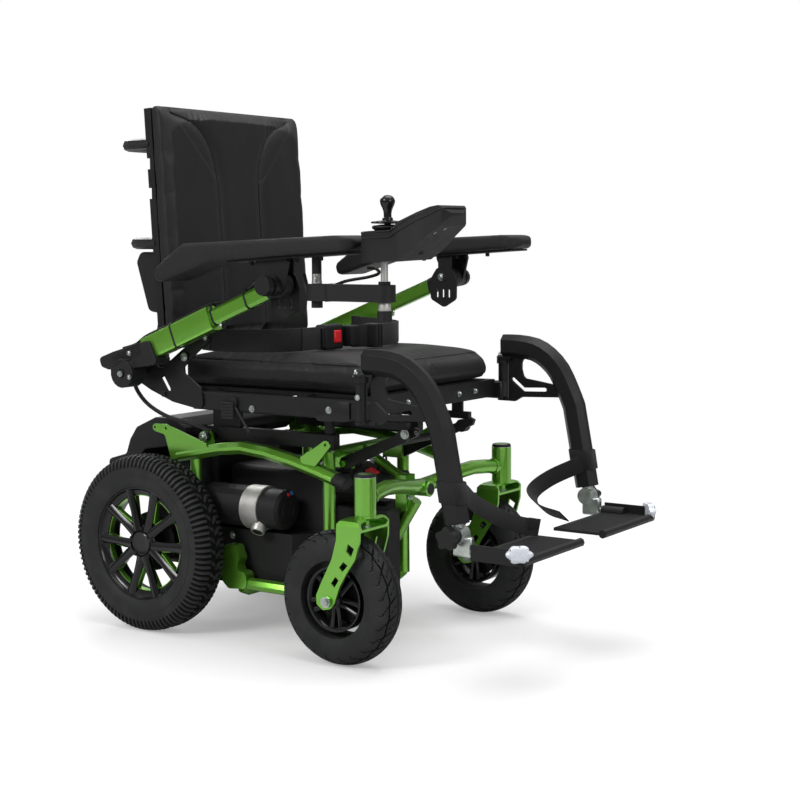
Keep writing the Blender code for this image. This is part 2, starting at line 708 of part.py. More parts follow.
def plate(outline, middle, thick, holes=(), plane="YZ", turn=None):
    """A flat plate: its outline, with holes, thickened about a plane at the given distance from the origin."""
    curve = bpy.data.curves.new("outline", "CURVE")
    curve.dimensions = "2D"
    curve.fill_mode = "BOTH"
    curve.extrude = thick / 2
    for points in (outline, *holes):
        spline = curve.splines.new("POLY")
        spline.points.add(len(points) - 1)
        for target, (u, v) in zip(spline.points, points):
            target.co = (u, v, 0.0, 1.0)
        spline.use_cyclic_u = True
    offset = middle if plane != "XZ" else -middle
    matrix = PLANES[plane] @ Matrix.Translation((0, 0, offset))
    return filled_mesh(curve, matrix if turn is None else turn @ matrix)


def tube(points, radius, resolution=2):
    """A round tube along a route, as a curve object with filled caps."""
    curve = bpy.data.curves.new("tube", "CURVE")
    curve.dimensions = "3D"
    curve.bevel_depth = radius
    curve.bevel_resolution = resolution
    curve.use_fill_caps = True
    spline = curve.splines.new("POLY")
    spline.points.add(len(points) - 1)
    for target, point in zip(spline.points, points):
        target.co = (*point, 1.0)
    return curve


def tube_shape(points, radius, resolution=2):
    return filled_mesh(tube(points, radius, resolution), Matrix.Identity(4), warped=True)


def loft(rings):
    """A solid through rings of equal counts of points, closed at both ends."""
    bm = bmesh.new()
    rows = [[bm.verts.new(point) for point in ring] for ring in rings]
    count = len(rows[0])
    for row, following in zip(rows, rows[1:]):
        for i in range(count):
            bm.faces.new((row[i], row[(i + 1) % count], following[(i + 1) % count], following[i]))
    bm.faces.new(rows[0][::-1])
    bm.faces.new(rows[-1])
    return shape_of(bm)


def rectangle(width, height, corner, steps=2):
    half_width, half_height = width / 2, height / 2
    corners = ((-half_width, -half_height), (half_width, -half_height), (half_width, half_height), (-half_width, half_height))
    return rounded(corners, corner, steps) if corner else list(corners)


def bar(route, section, x):
    """A bar of one section along a route in the side view: the section's first axis is X, its second crosses the route."""
    line = [Vector((0, y, z)) for y, z in route]
    sideways = Vector((1, 0, 0))
    rings = []
    for i, point in enumerate(line):
        before = (point - line[i - 1]).normalized() if i else None
        after = (line[i + 1] - point).normalized() if i < len(line) - 1 else None
        direction = ((before or after) + (after or before)).normalized()
        across = sideways.cross(direction)
        widen = 1 / max(direction.dot(before or after), 0.5)
        rings.append([point + sideways * (x + u) + across * (v * widen) for u, v in section])
    return loft(rings)


def ribbon(points, thick, height):
    """A strap along a route, its width upright."""
    line = smooth_line(points, 3)
    rings = []
    for i, point in enumerate(line):
        direction = line[min(i + 1, len(line) - 1)] - line[max(i - 1, 0)]
        flat = Vector((direction.x, direction.y, 0)).normalized()
        across = Vector((-flat.y, flat.x, 0)) * thick / 2
        up = Vector((0, 0, height / 2))
        rings.append([point - across - up, point + across - up, point + across + up, point - across + up])
    return loft(rings)


def joint_empty(name, location, parent=None, children=()):
    """An empty on a joint's axis that carries the pieces which move with it."""
    empty = bpy.data.objects.new(f"joint_{name}", None)
    empty.empty_display_size = 0.02
    empty["joint_location"] = location
    start = Vector(location)
    if parent:
        empty.parent = parent
        start -= Vector(parent["joint_location"])
    empty.location = start
    PARTS.objects.link(empty)
    for child in children:
        child.parent = empty
        child.matrix_parent_inverse = Matrix.Translation(location).inverted()
    return empty


def tyre_profile(radius, width, bead):
    half = width / 2
    depth = radius - bead
    outer = [
        (bead, half * 0.72), (bead + 0.45 * depth, half), (radius - 0.25 * depth, half * 0.90), (radius - 0.05 * depth, half * 0.56),
    ]
    return [*outer, (radius, 0.0), *[(r, -height) for r, height in reversed(outer)]]


def wheel_rim(name, finish, side, centre, bead, half, hub_radius, bore, spokes, face, sides):
    """A rim with a ring, a hub and flat spokes set in pairs near its outer face."""
    ring_radius = bead - SEAT_GAP
    ring = turned(
        [
            (ring_radius, half), (ring_radius, -half), (ring_radius - 0.014, -half * 0.80), (ring_radius - 0.014, half * 0.80),
        ],
        centre, (1, 0, 0), sides,
    )
    hub = rod((centre[0] - side * half * 0.8, *centre[1:]), (centre[0] + side * face, *centre[1:]), hub_radius, sides=12)
    arms = []
    for k in range(spokes):
        pair = k // 2 * 4 * math.pi / spokes
        angle = pair + (1 if k % 2 else -1) * 0.30
        inner = pair + (1 if k % 2 else -1) * 0.20
        start = Vector((0, math.cos(inner), math.sin(inner))) * hub_radius * 0.7
        end = Vector((0, math.cos(angle), math.sin(angle))) * (ring_radius - 0.008)
        arms.append(spoke(centre, start, end, side * (face - 0.009), 0.010, bead * 0.085))
    cutter = rod(
        (centre[0] - 0.2, *centre[1:]), (centre[0] + 0.2, *centre[1:]), bore_radius(bore)
    ) if side_through(bore) else rod(
        (centre[0] - side * half, *centre[1:]), (centre[0] + side * 0.004, *centre[1:]), bore_radius(bore)
    )
    return node(name, finish, ring, join=[hub, *arms], cut=[cutter])


def side_through(bore):
    """A caster's bolt runs right through its rim; a drive wheel's stub stops inside its hub."""
    return bore < DRIVE_AXLE_RADIUS


def spoke(centre, start, end, x, thick, width):
    along = end - start
    normal = Vector((1, 0, 0)).cross(along).normalized() * width / 2
    origin = Vector(centre)
    rings = []
    for point, scale in ((start, 1.25), (end, 0.9)):
        for_face = []
        for dx, across in ((-thick / 2, 1), (thick / 2, 0.55), (thick / 2, -0.55), (-thick / 2, -1)):
            for_face.append(origin + point + Vector((x + dx * math.copysign(1, x), 0, 0)) + normal * across * scale)
        rings.append(for_face)
    return loft(rings)


def build_drive_wheel(word, side):
    centre = (side * DRIVE_TRACK, *DRIVE_AXLE)
    tyre = node(f"drive_tyre_{word}", RUBBER, turned(
        tyre_profile(DRIVE_RADIUS, DRIVE_WIDTH, DRIVE_BEAD), centre, (1, 0, 0), DRIVE_SEGMENTS))
    rim = wheel_rim(
        f"drive_rim_{word}", GLOSS_BLACK, side, centre, DRIVE_BEAD, DRIVE_RIM_HALF, DRIVE_HUB_RADIUS, DRIVE_AXLE_RADIUS,
        DRIVE_SPOKES, 0.020, DRIVE_SEGMENTS,
    )
    joint_empty(f"drive_wheel_{word}", centre, children=[tyre, rim])


def build_caster(word, side, axle_empty):
    wheel_y = CASTER_STEM_Y + CASTER_TRAIL
    centre = (side * CASTER_TRACK, wheel_y, CASTER_RADIUS)
    tyre = node(f"caster_tyre_{word}", RUBBER, turned(
        tyre_profile(CASTER_RADIUS, CASTER_WIDTH, CASTER_BEAD), centre, (1, 0, 0), CASTER_SEGMENTS))
    rim = wheel_rim(
        f"caster_rim_{word}", GLOSS_BLACK, side, centre, CASTER_BEAD, CASTER_RIM_HALF, CASTER_HUB_RADIUS,
        CASTER_BOLT_RADIUS, CASTER_SPOKES, CASTER_RIM_HALF + 0.006, CASTER_SEGMENTS,
    )
    fork = build_fork(word, side, centre)
    stem = joint_empty(f"caster_{word}", (side * CASTER_TRACK, CASTER_STEM_Y, HEAD_BOTTOM), axle_empty, [fork])
    joint_empty(f"caster_wheel_{word}", centre, stem, [tyre, rim])


def build_fork(word, side, centre):
    middle = side * CASTER_TRACK
    outer, sheet = FORK_HALF_WIDTH, FORK_SHEET
    crown_low = FORK_TOP - FORK_CROWN_DEPTH
    outside = rounded(((-outer, 0.02), (outer, 0.02), (outer, FORK_TOP), (-outer, FORK_TOP)), 0.012, 2)
    window = rounded(
        ((sheet - outer, crown_low + sheet), (outer - sheet, crown_low + sheet), (outer - sheet, FORK_TOP - sheet),
         (sheet - outer, FORK_TOP - sheet)), 0.008, 1)
    inside = ((sheet - outer, 0.03), (outer - sheet, 0.03), (outer - sheet, crown_low), (sheet - outer, crown_low))
    front, rear = FORK_ARM[-1][0], FORK_ARM[4][0]
    turn = Matrix.Translation((middle, 0, 0))
    blank = plate(outside, (front + rear) / 2, rear - front + 0.004, (window, inside), "XZ", turn)
    outline = plate(rounded(FORK_ARM, 0.02, 1), middle, 4 * outer)
    clip = blank.modifiers.new("Arm outline", "BOOLEAN")
    clip.operation = "INTERSECT"
    clip.solver = "EXACT"
    clip.object = outline
    outline.name = f"caster_fork_{word}_outline"
    outline.display_type = "WIRE"
    outline.hide_render = True
    CUTTERS.objects.link(outline)
    stem_x = (middle, CASTER_STEM_Y)
    washer_top = HEAD_BOTTOM - RUNNING_GAP
    cap = HEAD_TOP + RUNNING_GAP
    add = [
        rod((*stem_x, FORK_TOP - sheet / 2), (*stem_x, cap + 0.002), FORK_STEM_RADIUS),
        rod((*stem_x, FORK_TOP - 0.001), (*stem_x, washer_top), HEAD_RADIUS, sides=16),
        rod((*stem_x, cap), (*stem_x, cap + FORK_CAP_HEIGHT), FORK_CAP_RADIUS, FORK_CAP_RADIUS - 0.003, 14),
        rod((*stem_x, crown_low + sheet / 2), (*stem_x, FORK_TOP - sheet / 2), 0.009, sides=8),
        rod((middle - outer - 0.003, *centre[1:]), (middle + outer + 0.003, *centre[1:]), CASTER_BOLT_RADIUS, sides=8),
    ]
    for end in (-1, 1):
        face = middle + end * (outer - 0.001)
        add.append(rod((face, *centre[1:]), (face + end * 0.006, *centre[1:]), CASTER_BOLT_HEAD, sides=8))
    cuts = [plate(window_points, middle, 4 * outer) for window_points in FORK_WINDOWS]
    # The windows are cut through both arms before the axle bolt is joined.
    for number, cutter in enumerate(cuts, 1):
        cutter.display_type = "WIRE"
        cutter.hide_render = True
        cutter.name = f"caster_fork_{word}_window_{number}"
        CUTTERS.objects.link(cutter)
        modifier = blank.modifiers.new(f"Window {number}", "BOOLEAN")
        modifier.operation = "DIFFERENCE"
        modifier.solver = "EXACT"
        modifier.object = cutter
    return node(f"caster_fork_{word}", GREEN, blank, join=add)


def build_front_axle():
    half = [Vector(point) for point in BEAM_ROUTE]
    middle = Vector((0, *BEAM_MIDDLE))
    route = [*half, middle, *[Vector((-p.x, p.y, p.z)) for p in reversed(half)]]
    beam = tube_shape(smooth_line(route, 2), BEAM_TUBE_RADIUS, 3)
    heads = [
        rod((x, CASTER_STEM_Y, HEAD_BOTTOM), (x, CASTER_STEM_Y, HEAD_TOP), HEAD_RADIUS, sides=16)
        for x in (-CASTER_TRACK, CASTER_TRACK)
    ]
    boss = rod((0, BOSS_FRONT, ROCKER_PIVOT_Z), (0, BOSS_REAR, ROCKER_PIVOT_Z), BOSS_RADIUS, sides=16)
    bores = [
        rod((x, CASTER_STEM_Y, 0.2), (x, CASTER_STEM_Y, 0.5), bore_radius(FORK_STEM_RADIUS))
        for x in (-CASTER_TRACK, CASTER_TRACK)
    ]
    bores.append(rod((0, -0.3, ROCKER_PIVOT_Z), (0, 0, ROCKER_PIVOT_Z), bore_radius(PIVOT_PIN_RADIUS)))
    axle = node("front_axle", GREEN, beam, join=[*heads, boss], cut=bores)
    return joint_empty("front_axle", (0, BOSS_REAR, ROCKER_PIVOT_Z), children=[axle])


def build_base_frame():
    cross_y, cross_z = CROSS_TUBE
    add = []
    for _, side in SIDES:
        post_x = side * POST_X
        rail_x = side * RAIL_X
        rail = [(rail_x, RAIL_REAR_Y, RAIL_Z), (rail_x, RAIL_BEND_Y, RAIL_Z), (post_x, POST_Y, RAIL_Z)]
        add += [
            rod((post_x, POST_Y, RAIL_Z - RAIL_RADIUS * 0.9), (post_x, POST_Y, cross_z + 0.008), POST_RADIUS),
            tube_shape(rail, RAIL_RADIUS, 2),
            plate(rounded(CASTING, 0.006, 1), side * (RAIL_X + 0.003), CASTING_WIDTH),
            side_box(side, (LEVER_LUG_X - LEVER_LUG / 2, LEVER_LUG_X + LEVER_LUG / 2), (LEVER_PIVOT[0] - 0.012, cross_y + 0.003),
                     (LEVER_PIVOT[1] - 0.011, cross_z + 0.004)),
            rod((side * (LEVER_LUG_X - 0.002), *LEVER_PIVOT), (side * (LEVER_X + 0.009), *LEVER_PIVOT), LEVER_PIN_RADIUS, sides=10),
        ]
    belly_front = DIAGONAL_FOOT[0] + 0.010
    for reach, end_y, y in ((POST_X, POST_Y, belly_front + 0.012), (RAIL_X, BELLY_REAR_Y, BELLY_REAR_Y)):
        half = [(reach + 0.003, end_y + 0.001, RAIL_Z - 0.0105), (reach - 0.020, (end_y + y) / 2, BELLY_Z + 0.001), (0.04, y, BELLY_Z + 0.001)]
        add.append(tube_shape([*half, *[(-px, py, pz) for px, py, pz in reversed(half)]], BELLY_CROSS_RADIUS, 2))
    add += [
        rod((0, *DIAGONAL_TOP), (0, *DIAGONAL_FOOT), DIAGONAL_RADIUS),
        rod((0, belly_front - 0.008, BELLY_Z), (0, BELLY_REAR_Y + 0.016, BELLY_Z), BELLY_RADIUS),
        rod((0, DIAGONAL_FOOT[0] + 0.003, DIAGONAL_FOOT[1] + 0.004), (0, belly_front, BELLY_Z - 0.003), DIAGONAL_RADIUS * 0.94),
        box(*YOKE),
        rod((0, YOKE[1][1] - 0.006, ROCKER_PIVOT_Z), (0, BOSS_FRONT - 0.001, ROCKER_PIVOT_Z), PIVOT_PIN_RADIUS),
        rod((0, BOSS_FRONT - RUNNING_GAP, ROCKER_PIVOT_Z), (0, BOSS_FRONT - PIVOT_WASHER, ROCKER_PIVOT_Z),
            PIVOT_WASHER_RADIUS, sides=16),
        rod((0, *YOKE_STRUT[0]), (0, *YOKE_STRUT[1]), YOKE_STRUT_RADIUS),
    ]
    shape = rod((-CROSS_TUBE_REACH, *CROSS_TUBE), (CROSS_TUBE_REACH, *CROSS_TUBE), CROSS_TUBE_RADIUS)
    return node("base_frame", GREEN, shape, join=add)


def build_arch_beam(word, side):
    route = smooth_line(ARCH_ROUTE, 2)
    beam = bar(route, rectangle(ARCH_WIDTH, ARCH_HEIGHT, ARCH_CORNER, 1), side * ARCH_X)
    plate_x = side * (ARCH_X + ARCH_WIDTH / 2 - 0.006)
    front = plate(rounded(FRONT_BRACKET, 0.006, 1), plate_x, BRACKET_THICK,
                  [circle(FRONT_BRACKET_HOLE, BRACKET_HOLE_RADIUS, 8)])
    rear = plate(rounded(REAR_BRACKET, 0.006, 1), plate_x, BRACKET_THICK,
                 [circle(hole, BRACKET_HOLE_RADIUS, 8) for hole in REAR_BRACKET_HOLES])
    y, z = TILT_PIVOT
    lug = plate(
        rounded(((y + 0.026, z - 0.040), (y + TILT_LUG_RADIUS, z + 0.008), (y + 0.004, z + TILT_LUG_RADIUS),
                 (y - 0.010, z + 0.011), (y - TILT_LUG_RADIUS, z - 0.002), (y - 0.016, z - 0.036)), 0.008, 1),
        side * TILT_LUG_X, TILT_LUG_THICK, [circle(TILT_PIVOT, bore_radius(TILT_PIN_RADIUS))])
    strut_x = side * (ARCH_X - 0.004)
    strut = rod((strut_x, STRUT_Y, STRUT_FOOT), (strut_x, STRUT_Y, 0.368), STRUT_RADIUS)
    return node(f"arch_beam_{word}", GREEN, beam, join=[front, rear, lug, strut])


def build_battery_box():
    half, (corner_x, corner_y) = BOX_HALF_WIDTH, BOX_CORNER
    outline = [
        (-half, BOX_REAR), (-half, BOX_SHOULDER_Y), (-corner_x, corner_y), (corner_x, corner_y), (half, BOX_SHOULDER_Y),
        (half, BOX_REAR),
    ]
    main = plate(rounded(outline, 0.008, 2), (BOX_BOTTOM + BOX_TOP) / 2, BOX_TOP - BOX_BOTTOM, plane="XY")
    noses = [side_box(side, NOSE_X, (NOSE_FRONT[word], corner_y + 0.030), (BOX_BOTTOM + 0.001, NOSE_TOP), 0.004)
             for word, side in SIDES]
    tower = box((-TOWER_HALF_WIDTH, corner_y + 0.006, BOX_TOP - 0.02), (TOWER_HALF_WIDTH, BOX_REAR - 0.004, TOWER_TOP), 0.008)
    neck = box((-TOWER_HALF_WIDTH * 0.8, NECK_FRONT, NECK_BOTTOM), (TOWER_HALF_WIDTH * 0.8, 0.05, NECK_TOP), 0.004)
    domes = [ball((x, DOME_Y, TOWER_TOP - 0.008), DOME_RADIUS, (1, 0.85, 1.0), 12, 6) for x in (-DOME_X, DOME_X)]
    hooks = []
    for x in (-DOME_X, DOME_X):
        foot = DOME_TOP - 0.006
        hooks.append(tube_shape(
            [(x - 0.007, DOME_Y, foot), (x - 0.007, DOME_Y, foot + HOOK_HEIGHT * 0.7), (x, DOME_Y, foot + HOOK_HEIGHT),
             (x + 0.007, DOME_Y, foot + HOOK_HEIGHT * 0.7), (x + 0.007, DOME_Y, foot)], HOOK_RADIUS, 1))
    return node("battery_box", BLACK_PLASTIC, main, join=[*noses, tower, neck, box(*LEVER_SEAT), *domes, *hooks])


def build_freewheel_lever():
    x, y, z = LEVER_POST
    width, length, height = RED_LEVER_SIZE
    body = plate(
        [(y + 0.006, z + 0.0045), (y - length + 0.004, z + 0.0045), (y - length, z + 0.007), (y - length + 0.003, z + 0.010),
         (y - 0.004, z + height + 0.006), (y + 0.006, z + height)], x, width)
    lever = node("freewheel_lever", RED, body)
    joint_empty("freewheel_lever", (x, y, z + 0.006), children=[lever])


def build_motor(word, side):
    length_front, length_rear = MOTOR_FRONT, MOTOR_REAR
    low, high = MOTOR_BAND
    radius = MOTOR_RADIUS
    body = turned(
        [
            (0, length_rear), (radius, length_rear), (radius, high), (radius + 0.0012, high), (radius + 0.0012, low),
            (radius - 0.0015, low), (radius - 0.0015, length_front + 0.006), (radius - 0.008, length_front), (0, length_front),
        ],
        (side * MOTOR_X, 0, MOTOR_Z), (0, 1, 0), 18,
    )
    gearbox = box(*mirrored(side, GEARBOX), GEARBOX_EDGE)
    axle = rod((side * (GEARBOX[1][0] - 0.01), *DRIVE_AXLE), (side * AXLE_REACH, *DRIVE_AXLE), DRIVE_AXLE_RADIUS)
    outward = Vector((side * 0.62, -0.10, -0.78)).normalized()
    start = Vector((side * MOTOR_X, PORT_Y, MOTOR_Z)) + outward * (radius - 0.012)
    port = rod(start, start + outward * (PORT_REACH - radius + 0.012), PORT_RADIUS, sides=10)
    foot = side_box(side, MOTOR_FOOT_X, MOTOR_FOOT_Y, (MOTOR_FOOT_BOTTOM, STRUT_FOOT - SEAT_GAP), 0.002)
    return node(f"motor_{word}", BLACK_PLASTIC, body, join=[gearbox, axle, port, foot])


def build_rear_cover():
    shell = plate(rounded(COVER, 0.010, 2), 0, 2 * COVER_HALF_WIDTH)
    core = box(*COVER_CORE, edge=0.01)
    return node("rear_cover", BLACK_PLASTIC, shell, join=[core])


def build_seat_frame():
    inner = SEAT_RAIL_OUTER - SEAT_RAIL_WIDTH
    add = []
    for _, side in SIDES:
        x, y = side * HANGER_POST[0], HANGER_POST[1]
        add += [
            side_box(side, (inner, SEAT_RAIL_OUTER), (SEAT_RAIL_FRONT, SEAT_RAIL_REAR), (SEAT_RAIL_BOTTOM, SEAT_RAIL_TOP), 0.003),
            side_box(side, UNDER_RAIL_X, UNDER_RAIL_Y, UNDER_RAIL_Z),
            side_box(side, WEB_X, (CROSS_RAILS[2][0] + 0.004, UNDER_RAIL_Y[1] - 0.012), (UNDER_RAIL_Z[1] - 0.006, CROSS_RAIL_BOTTOM + 0.01)),
            side_box(side, WEB_X, (CROSS_RAILS[1][0] + 0.004, CROSS_RAILS[1][1] - 0.004), (UNDER_RAIL_Z[1] - 0.006, CROSS_RAIL_BOTTOM + 0.01)),
            side_box(side, RUNNER_X, RUNNER_Y, RUNNER_Z),
            side_box(side, (RUNNER_X[0] + 0.003, RUNNER_X[1] - 0.003), (CROSS_RAILS[0][0] + 0.003, CROSS_RAILS[0][1] + 0.006),
                     (RUNNER_Z[1] - 0.004, CROSS_RAIL_BOTTOM + 0.008)),
            side_box(side, (RUNNER_X[0] + 0.003, RUNNER_X[1] - 0.003), (CROSS_RAILS[1][0] + 0.003, CROSS_RAILS[1][1] - 0.005),
                     (RUNNER_Z[1] - 0.004, CROSS_RAIL_BOTTOM + 0.008)),
            rod((x, y, HANGER_POST_BOTTOM), (x, y, HANGER_POST_TOP - 0.002), HANGER_POST_RADIUS),
            rod((x, y, HANGER_POST_CAP_BOTTOM), (x, y, HANGER_POST_TOP), HANGER_POST_CAP_RADIUS, sides=14),
            rod((side * (UNDER_RAIL_X[1] - 0.008), *TILT_PIVOT), (side * (TILT_LUG_X + 0.009), *TILT_PIVOT), TILT_PIN_RADIUS),
            rod((side * (TILT_LUG_X + TILT_LUG_THICK / 2 + SEAT_GAP), *TILT_PIVOT),
                (side * (TILT_LUG_X + TILT_LUG_THICK / 2 + 0.006), *TILT_PIVOT), 0.0095),
        ]
    lever_y, lever_z = SEAT_LEVER_HUB
    add.append(rod((-SEAT_RAIL_OUTER + 0.004, lever_y, lever_z), (-SEAT_LEVER_X[1] - 0.001, lever_y, lever_z), SEAT_LEVER_PIN, sides=10))
    pan = box((-PAN_HALF_WIDTH, PAN_Y[0], PAN_TOP - PAN_THICK), (PAN_HALF_WIDTH, PAN_Y[1], PAN_TOP))
    rails = [box((-inner - 0.004, low, CROSS_RAIL_BOTTOM), (inner + 0.004, high, PAN_TOP - 0.002)) for low, high in CROSS_RAILS]
    bores = []
    for _, side in SIDES:
        x, y = side * HANGER_POST[0], HANGER_POST[1]
        radius = bore_radius(HANGER_PIN_RADIUS, 10)
        bores += [
            rod((x, y, HANGER_POST_TOP - HANGER_PIN_DEPTH), (x, y, 0.6), radius, sides=10),
            rod((x, y, 0.4), (x, y, HANGER_POST_BOTTOM + 0.018), radius, sides=10),
        ]
    return node("seat_frame", BLACK_PAINT, pan, join=[*rails, *add], cut=bores)


def build_side_plate(word, side):
    x = side * (SEAT_RAIL_OUTER + SEAT_GAP + SIDE_PLATE_THICK / 2)
    shape = plate(
        rounded(SIDE_PLATE, 0.008, 1), x, SIDE_PLATE_THICK,
        [slot(SIDE_PLATE_SLOT, SIDE_PLATE_SLOT_RADIUS, 3)])
    pin = rod((side * BACK_PIN_INNER, *BACK_PIVOT), (side * BACK_PIN_OUTER, *BACK_PIVOT), BACK_PIN_RADIUS, sides=10)
    bolts = [rod((x - side * SIDE_PLATE_THICK, *point), (x + side * PLATE_BOLT_HEAD, *point), PLATE_BOLT_RADIUS, sides=6)
             for point in PLATE_BOLTS]
    return node(f"side_plate_{word}", BLACK_PAINT, shape, join=[pin, *bolts])


def superellipse(half_x, half_z, count=16, power=4.0):
    points = []
    for k in range(count):
        angle = 2 * math.pi * (k + 0.5) / count
        c, s = math.cos(angle), math.sin(angle)
        points.append((
            half_x * math.copysign(abs(c) ** (2 / power), c),
            half_z * math.copysign(abs(s) ** (2 / power), s),
        ))
    return points


def build_seat_cushion():
    depth = CUSHION_TOP - CUSHION_BOTTOM
    length = CUSHION_REAR - CUSHION_FRONT
    rings = []
    for t, squeeze, rise in ((0.0, 0.80, 0.62), (0.012, 0.93, 0.86), (0.05, 0.985, 1.0), (0.22, 1.0, 1.0), (0.5, 0.995, 1.0),
                             (0.78, 1.0, 1.0), (0.95, 0.985, 1.0), (0.988, 0.95, 0.90), (1.0, 0.85, 0.70)):
        y = CUSHION_FRONT + length * t
        ring = []
        for u, v in superellipse(1.0, 1.0, 20, 5.0):
            crown = CUSHION_CROWN * (1 - u * u) * max(v, 0) * (1 if 0.02 < t < 0.98 else 0.3)
            lift = depth * (1 - rise) / 2 if v < 0 else 0
            z = CUSHION_BOTTOM + depth / 2 + v * depth / 2 * rise + crown + lift * 0.3
            ring.append(Vector((u * CUSHION_HALF_WIDTH * squeeze, y, max(z, CUSHION_BOTTOM + 0.0002))))
        rings.append(ring)
    return node("seat_cushion", UPHOLSTERY, loft(rings), smooth=60)


def back_face(z):
    return BACK_FRONT_Y + BACK_SLOPE * (z - BACK_FRONT_Z)


def build_back_cushion():
    rings = []
    levels = 9
    for i in range(levels + 1):
        t = i / levels
        z = BACK_CUSHION_BOTTOM + (BACK_CUSHION_TOP - BACK_CUSHION_BOTTOM) * t
        end = min(t, 1 - t)
        soft = 1.0 if end > 0.02 else 0.80
        half = (BACK_CUSHION_HALF + (BACK_CUSHION_HALF_TOP - BACK_CUSHION_HALF) * t) * (1.0 if end > 0.02 else 0.985)
        front, thick = back_face(z), BACK_CUSHION_THICK
        ring = []
        for u, dip in ((-1.0, 0.45), (-0.97, 0.10), (-0.80, 0.0), (-0.45, 0.03), (-0.31, 0.16), (-0.17, 0.03), (0.0, 0.0),
                       (0.17, 0.03), (0.31, 0.16), (0.45, 0.03), (0.80, 0.0), (0.97, 0.10), (1.0, 0.45)):
            ring.append(Vector((u * half, front + thick * (1 - soft) / 2 + thick * dip * soft, z)))
        for u, dip in ((0.985, 0.95), (0.90, 1.0), (0.5, 1.0), (0.0, 1.0), (-0.5, 1.0), (-0.90, 1.0), (-0.985, 0.95)):
            ring.append(Vector((u * half, front + thick * dip * (0.5 + soft / 2), z)))
        rings.append(ring)
    return node("back_cushion", UPHOLSTERY, loft(rings), smooth=60)


def back_rail_centre(z):
    return back_face(z) + BACK_CUSHION_THICK + SEAT_GAP + BACK_RAIL_DEPTH / 2


def build_back_frame():
    centre = back_rail_centre
    add = []
    for _, side in SIDES:
        x = side * BACK_RAIL_X
        rail = bar([(centre(BACK_RAIL_BOTTOM), BACK_RAIL_BOTTOM), (centre(BACK_RAIL_TOP), BACK_RAIL_TOP)],
                   rectangle(BACK_RAIL_THICK, BACK_RAIL_DEPTH, 0), x)
        y, z = BACK_PIVOT
        lug = plate(
            rounded(((centre(BACK_LUG_TOP) - 0.008, BACK_LUG_TOP), (y - 0.026, z + 0.035), (y - BACK_LUG_RADIUS, z - 0.004),
                     (y - 0.006, z - BACK_LUG_RADIUS), (y + 0.012, z - 0.016), (y + BACK_LUG_RADIUS, z),
                     (y + 0.010, z + 0.035), (centre(BACK_LUG_TOP) + 0.008, BACK_LUG_TOP)), 0.008, 1),
            x, BACK_RAIL_THICK - 0.002)
        add += [rail, lug]
    add.pop(0)
    first = bar([(centre(BACK_RAIL_BOTTOM), BACK_RAIL_BOTTOM), (centre(BACK_RAIL_TOP), BACK_RAIL_TOP)],
                rectangle(BACK_RAIL_THICK, BACK_RAIL_DEPTH, 0), -BACK_RAIL_X)
    for z in BACK_BARS:
        add.append(box((-BACK_RAIL_X, centre(z) + BACK_BAR_SET - BACK_BAR_THICK / 2, z - BACK_BAR_HEIGHT / 2),
                       (BACK_RAIL_X, centre(z) + BACK_BAR_SET + BACK_BAR_THICK / 2, z + BACK_BAR_HEIGHT / 2)))
    for z, rear in PUSH_BARS:
        back = rear - PUSH_BAR_RADIUS
        reach, bend, x = centre(z) + 0.002, PUSH_BAR_BEND, BACK_RAIL_X - 0.003
        half = [(x, reach, z), (x, back - bend, z)]
        half += [(x - bend * (1 - math.cos(a)), back - bend * (1 - math.sin(a)), z) for a in (math.pi / 6, math.pi / 3)]
        half.append((x - bend, back, z))
        add.append(tube_shape([*half, *[(-px, y, pz) for px, y, pz in reversed(half)]], PUSH_BAR_RADIUS, 2))
    cuts = [rod((side * (BACK_RAIL_X - BACK_RAIL_DEPTH), *BACK_PIVOT), (side * (BACK_RAIL_X + BACK_RAIL_DEPTH), *BACK_PIVOT),
                bore_radius(BACK_PIN_RADIUS, 10), sides=10) for _, side in SIDES]
    for z in NOTCHES:
        edge = centre(z) + BACK_RAIL_DEPTH / 2
        for _, side in SIDES:
            cuts.append(side_box(side, (BACK_RAIL_X - 0.002, BACK_RAIL_X + BACK_RAIL_THICK), (edge - NOTCH_DEPTH, edge + NOTCH_DEPTH),
                                 (z - NOTCH_HEIGHT / 2, z + NOTCH_HEIGHT / 2)))
    return node("back_frame", BLACK_PAINT, first, join=add, cut=cuts)


def build_back_cover():
    lean = BACK_SLOPE * BACK_BAR_HEIGHT / 2
    front = [(back_rail_centre(z) + BACK_BAR_SET + BACK_BAR_THICK / 2 + lean + SEAT_GAP, z) for z in BACK_COVER_Z]
    outline = [front[1], *BACK_COVER_REAR, front[0]]
    return node("back_cover", BLACK_PLASTIC, plate(rounded(outline, 0.014, 3), 0, 2 * BACK_COVER_HALF))


def build_belts():
    right = ribbon(BELT_RIGHT, BELT_THICK, BELT_HEIGHT)
    buckle = box(*BUCKLE, BUCKLE_EDGE)
    pocket = box((PRESS_X[0] - SEAT_GAP, -0.1, PRESS_Z[0] - SEAT_GAP), (PRESS_X[1] + SEAT_GAP, PRESS_POCKET_Y, PRESS_Z[1] + SEAT_GAP))
    belt_right = node("belt_right", WEBBING, buckle, join=[right], cut=[pocket])
    press = node("buckle_button", RED, box((PRESS_X[0], PRESS_Y[0], PRESS_Z[0]), (PRESS_X[1], PRESS_Y[1], PRESS_Z[1]), 0.002, 1))
    left = ribbon(BELT_LEFT, BELT_THICK, BELT_HEIGHT)
    belt_left = node("belt_left", WEBBING, box(*ADJUSTER, 0.004), join=[left, box(*TONGUE, 0.003)])
    return belt_right, belt_left, press


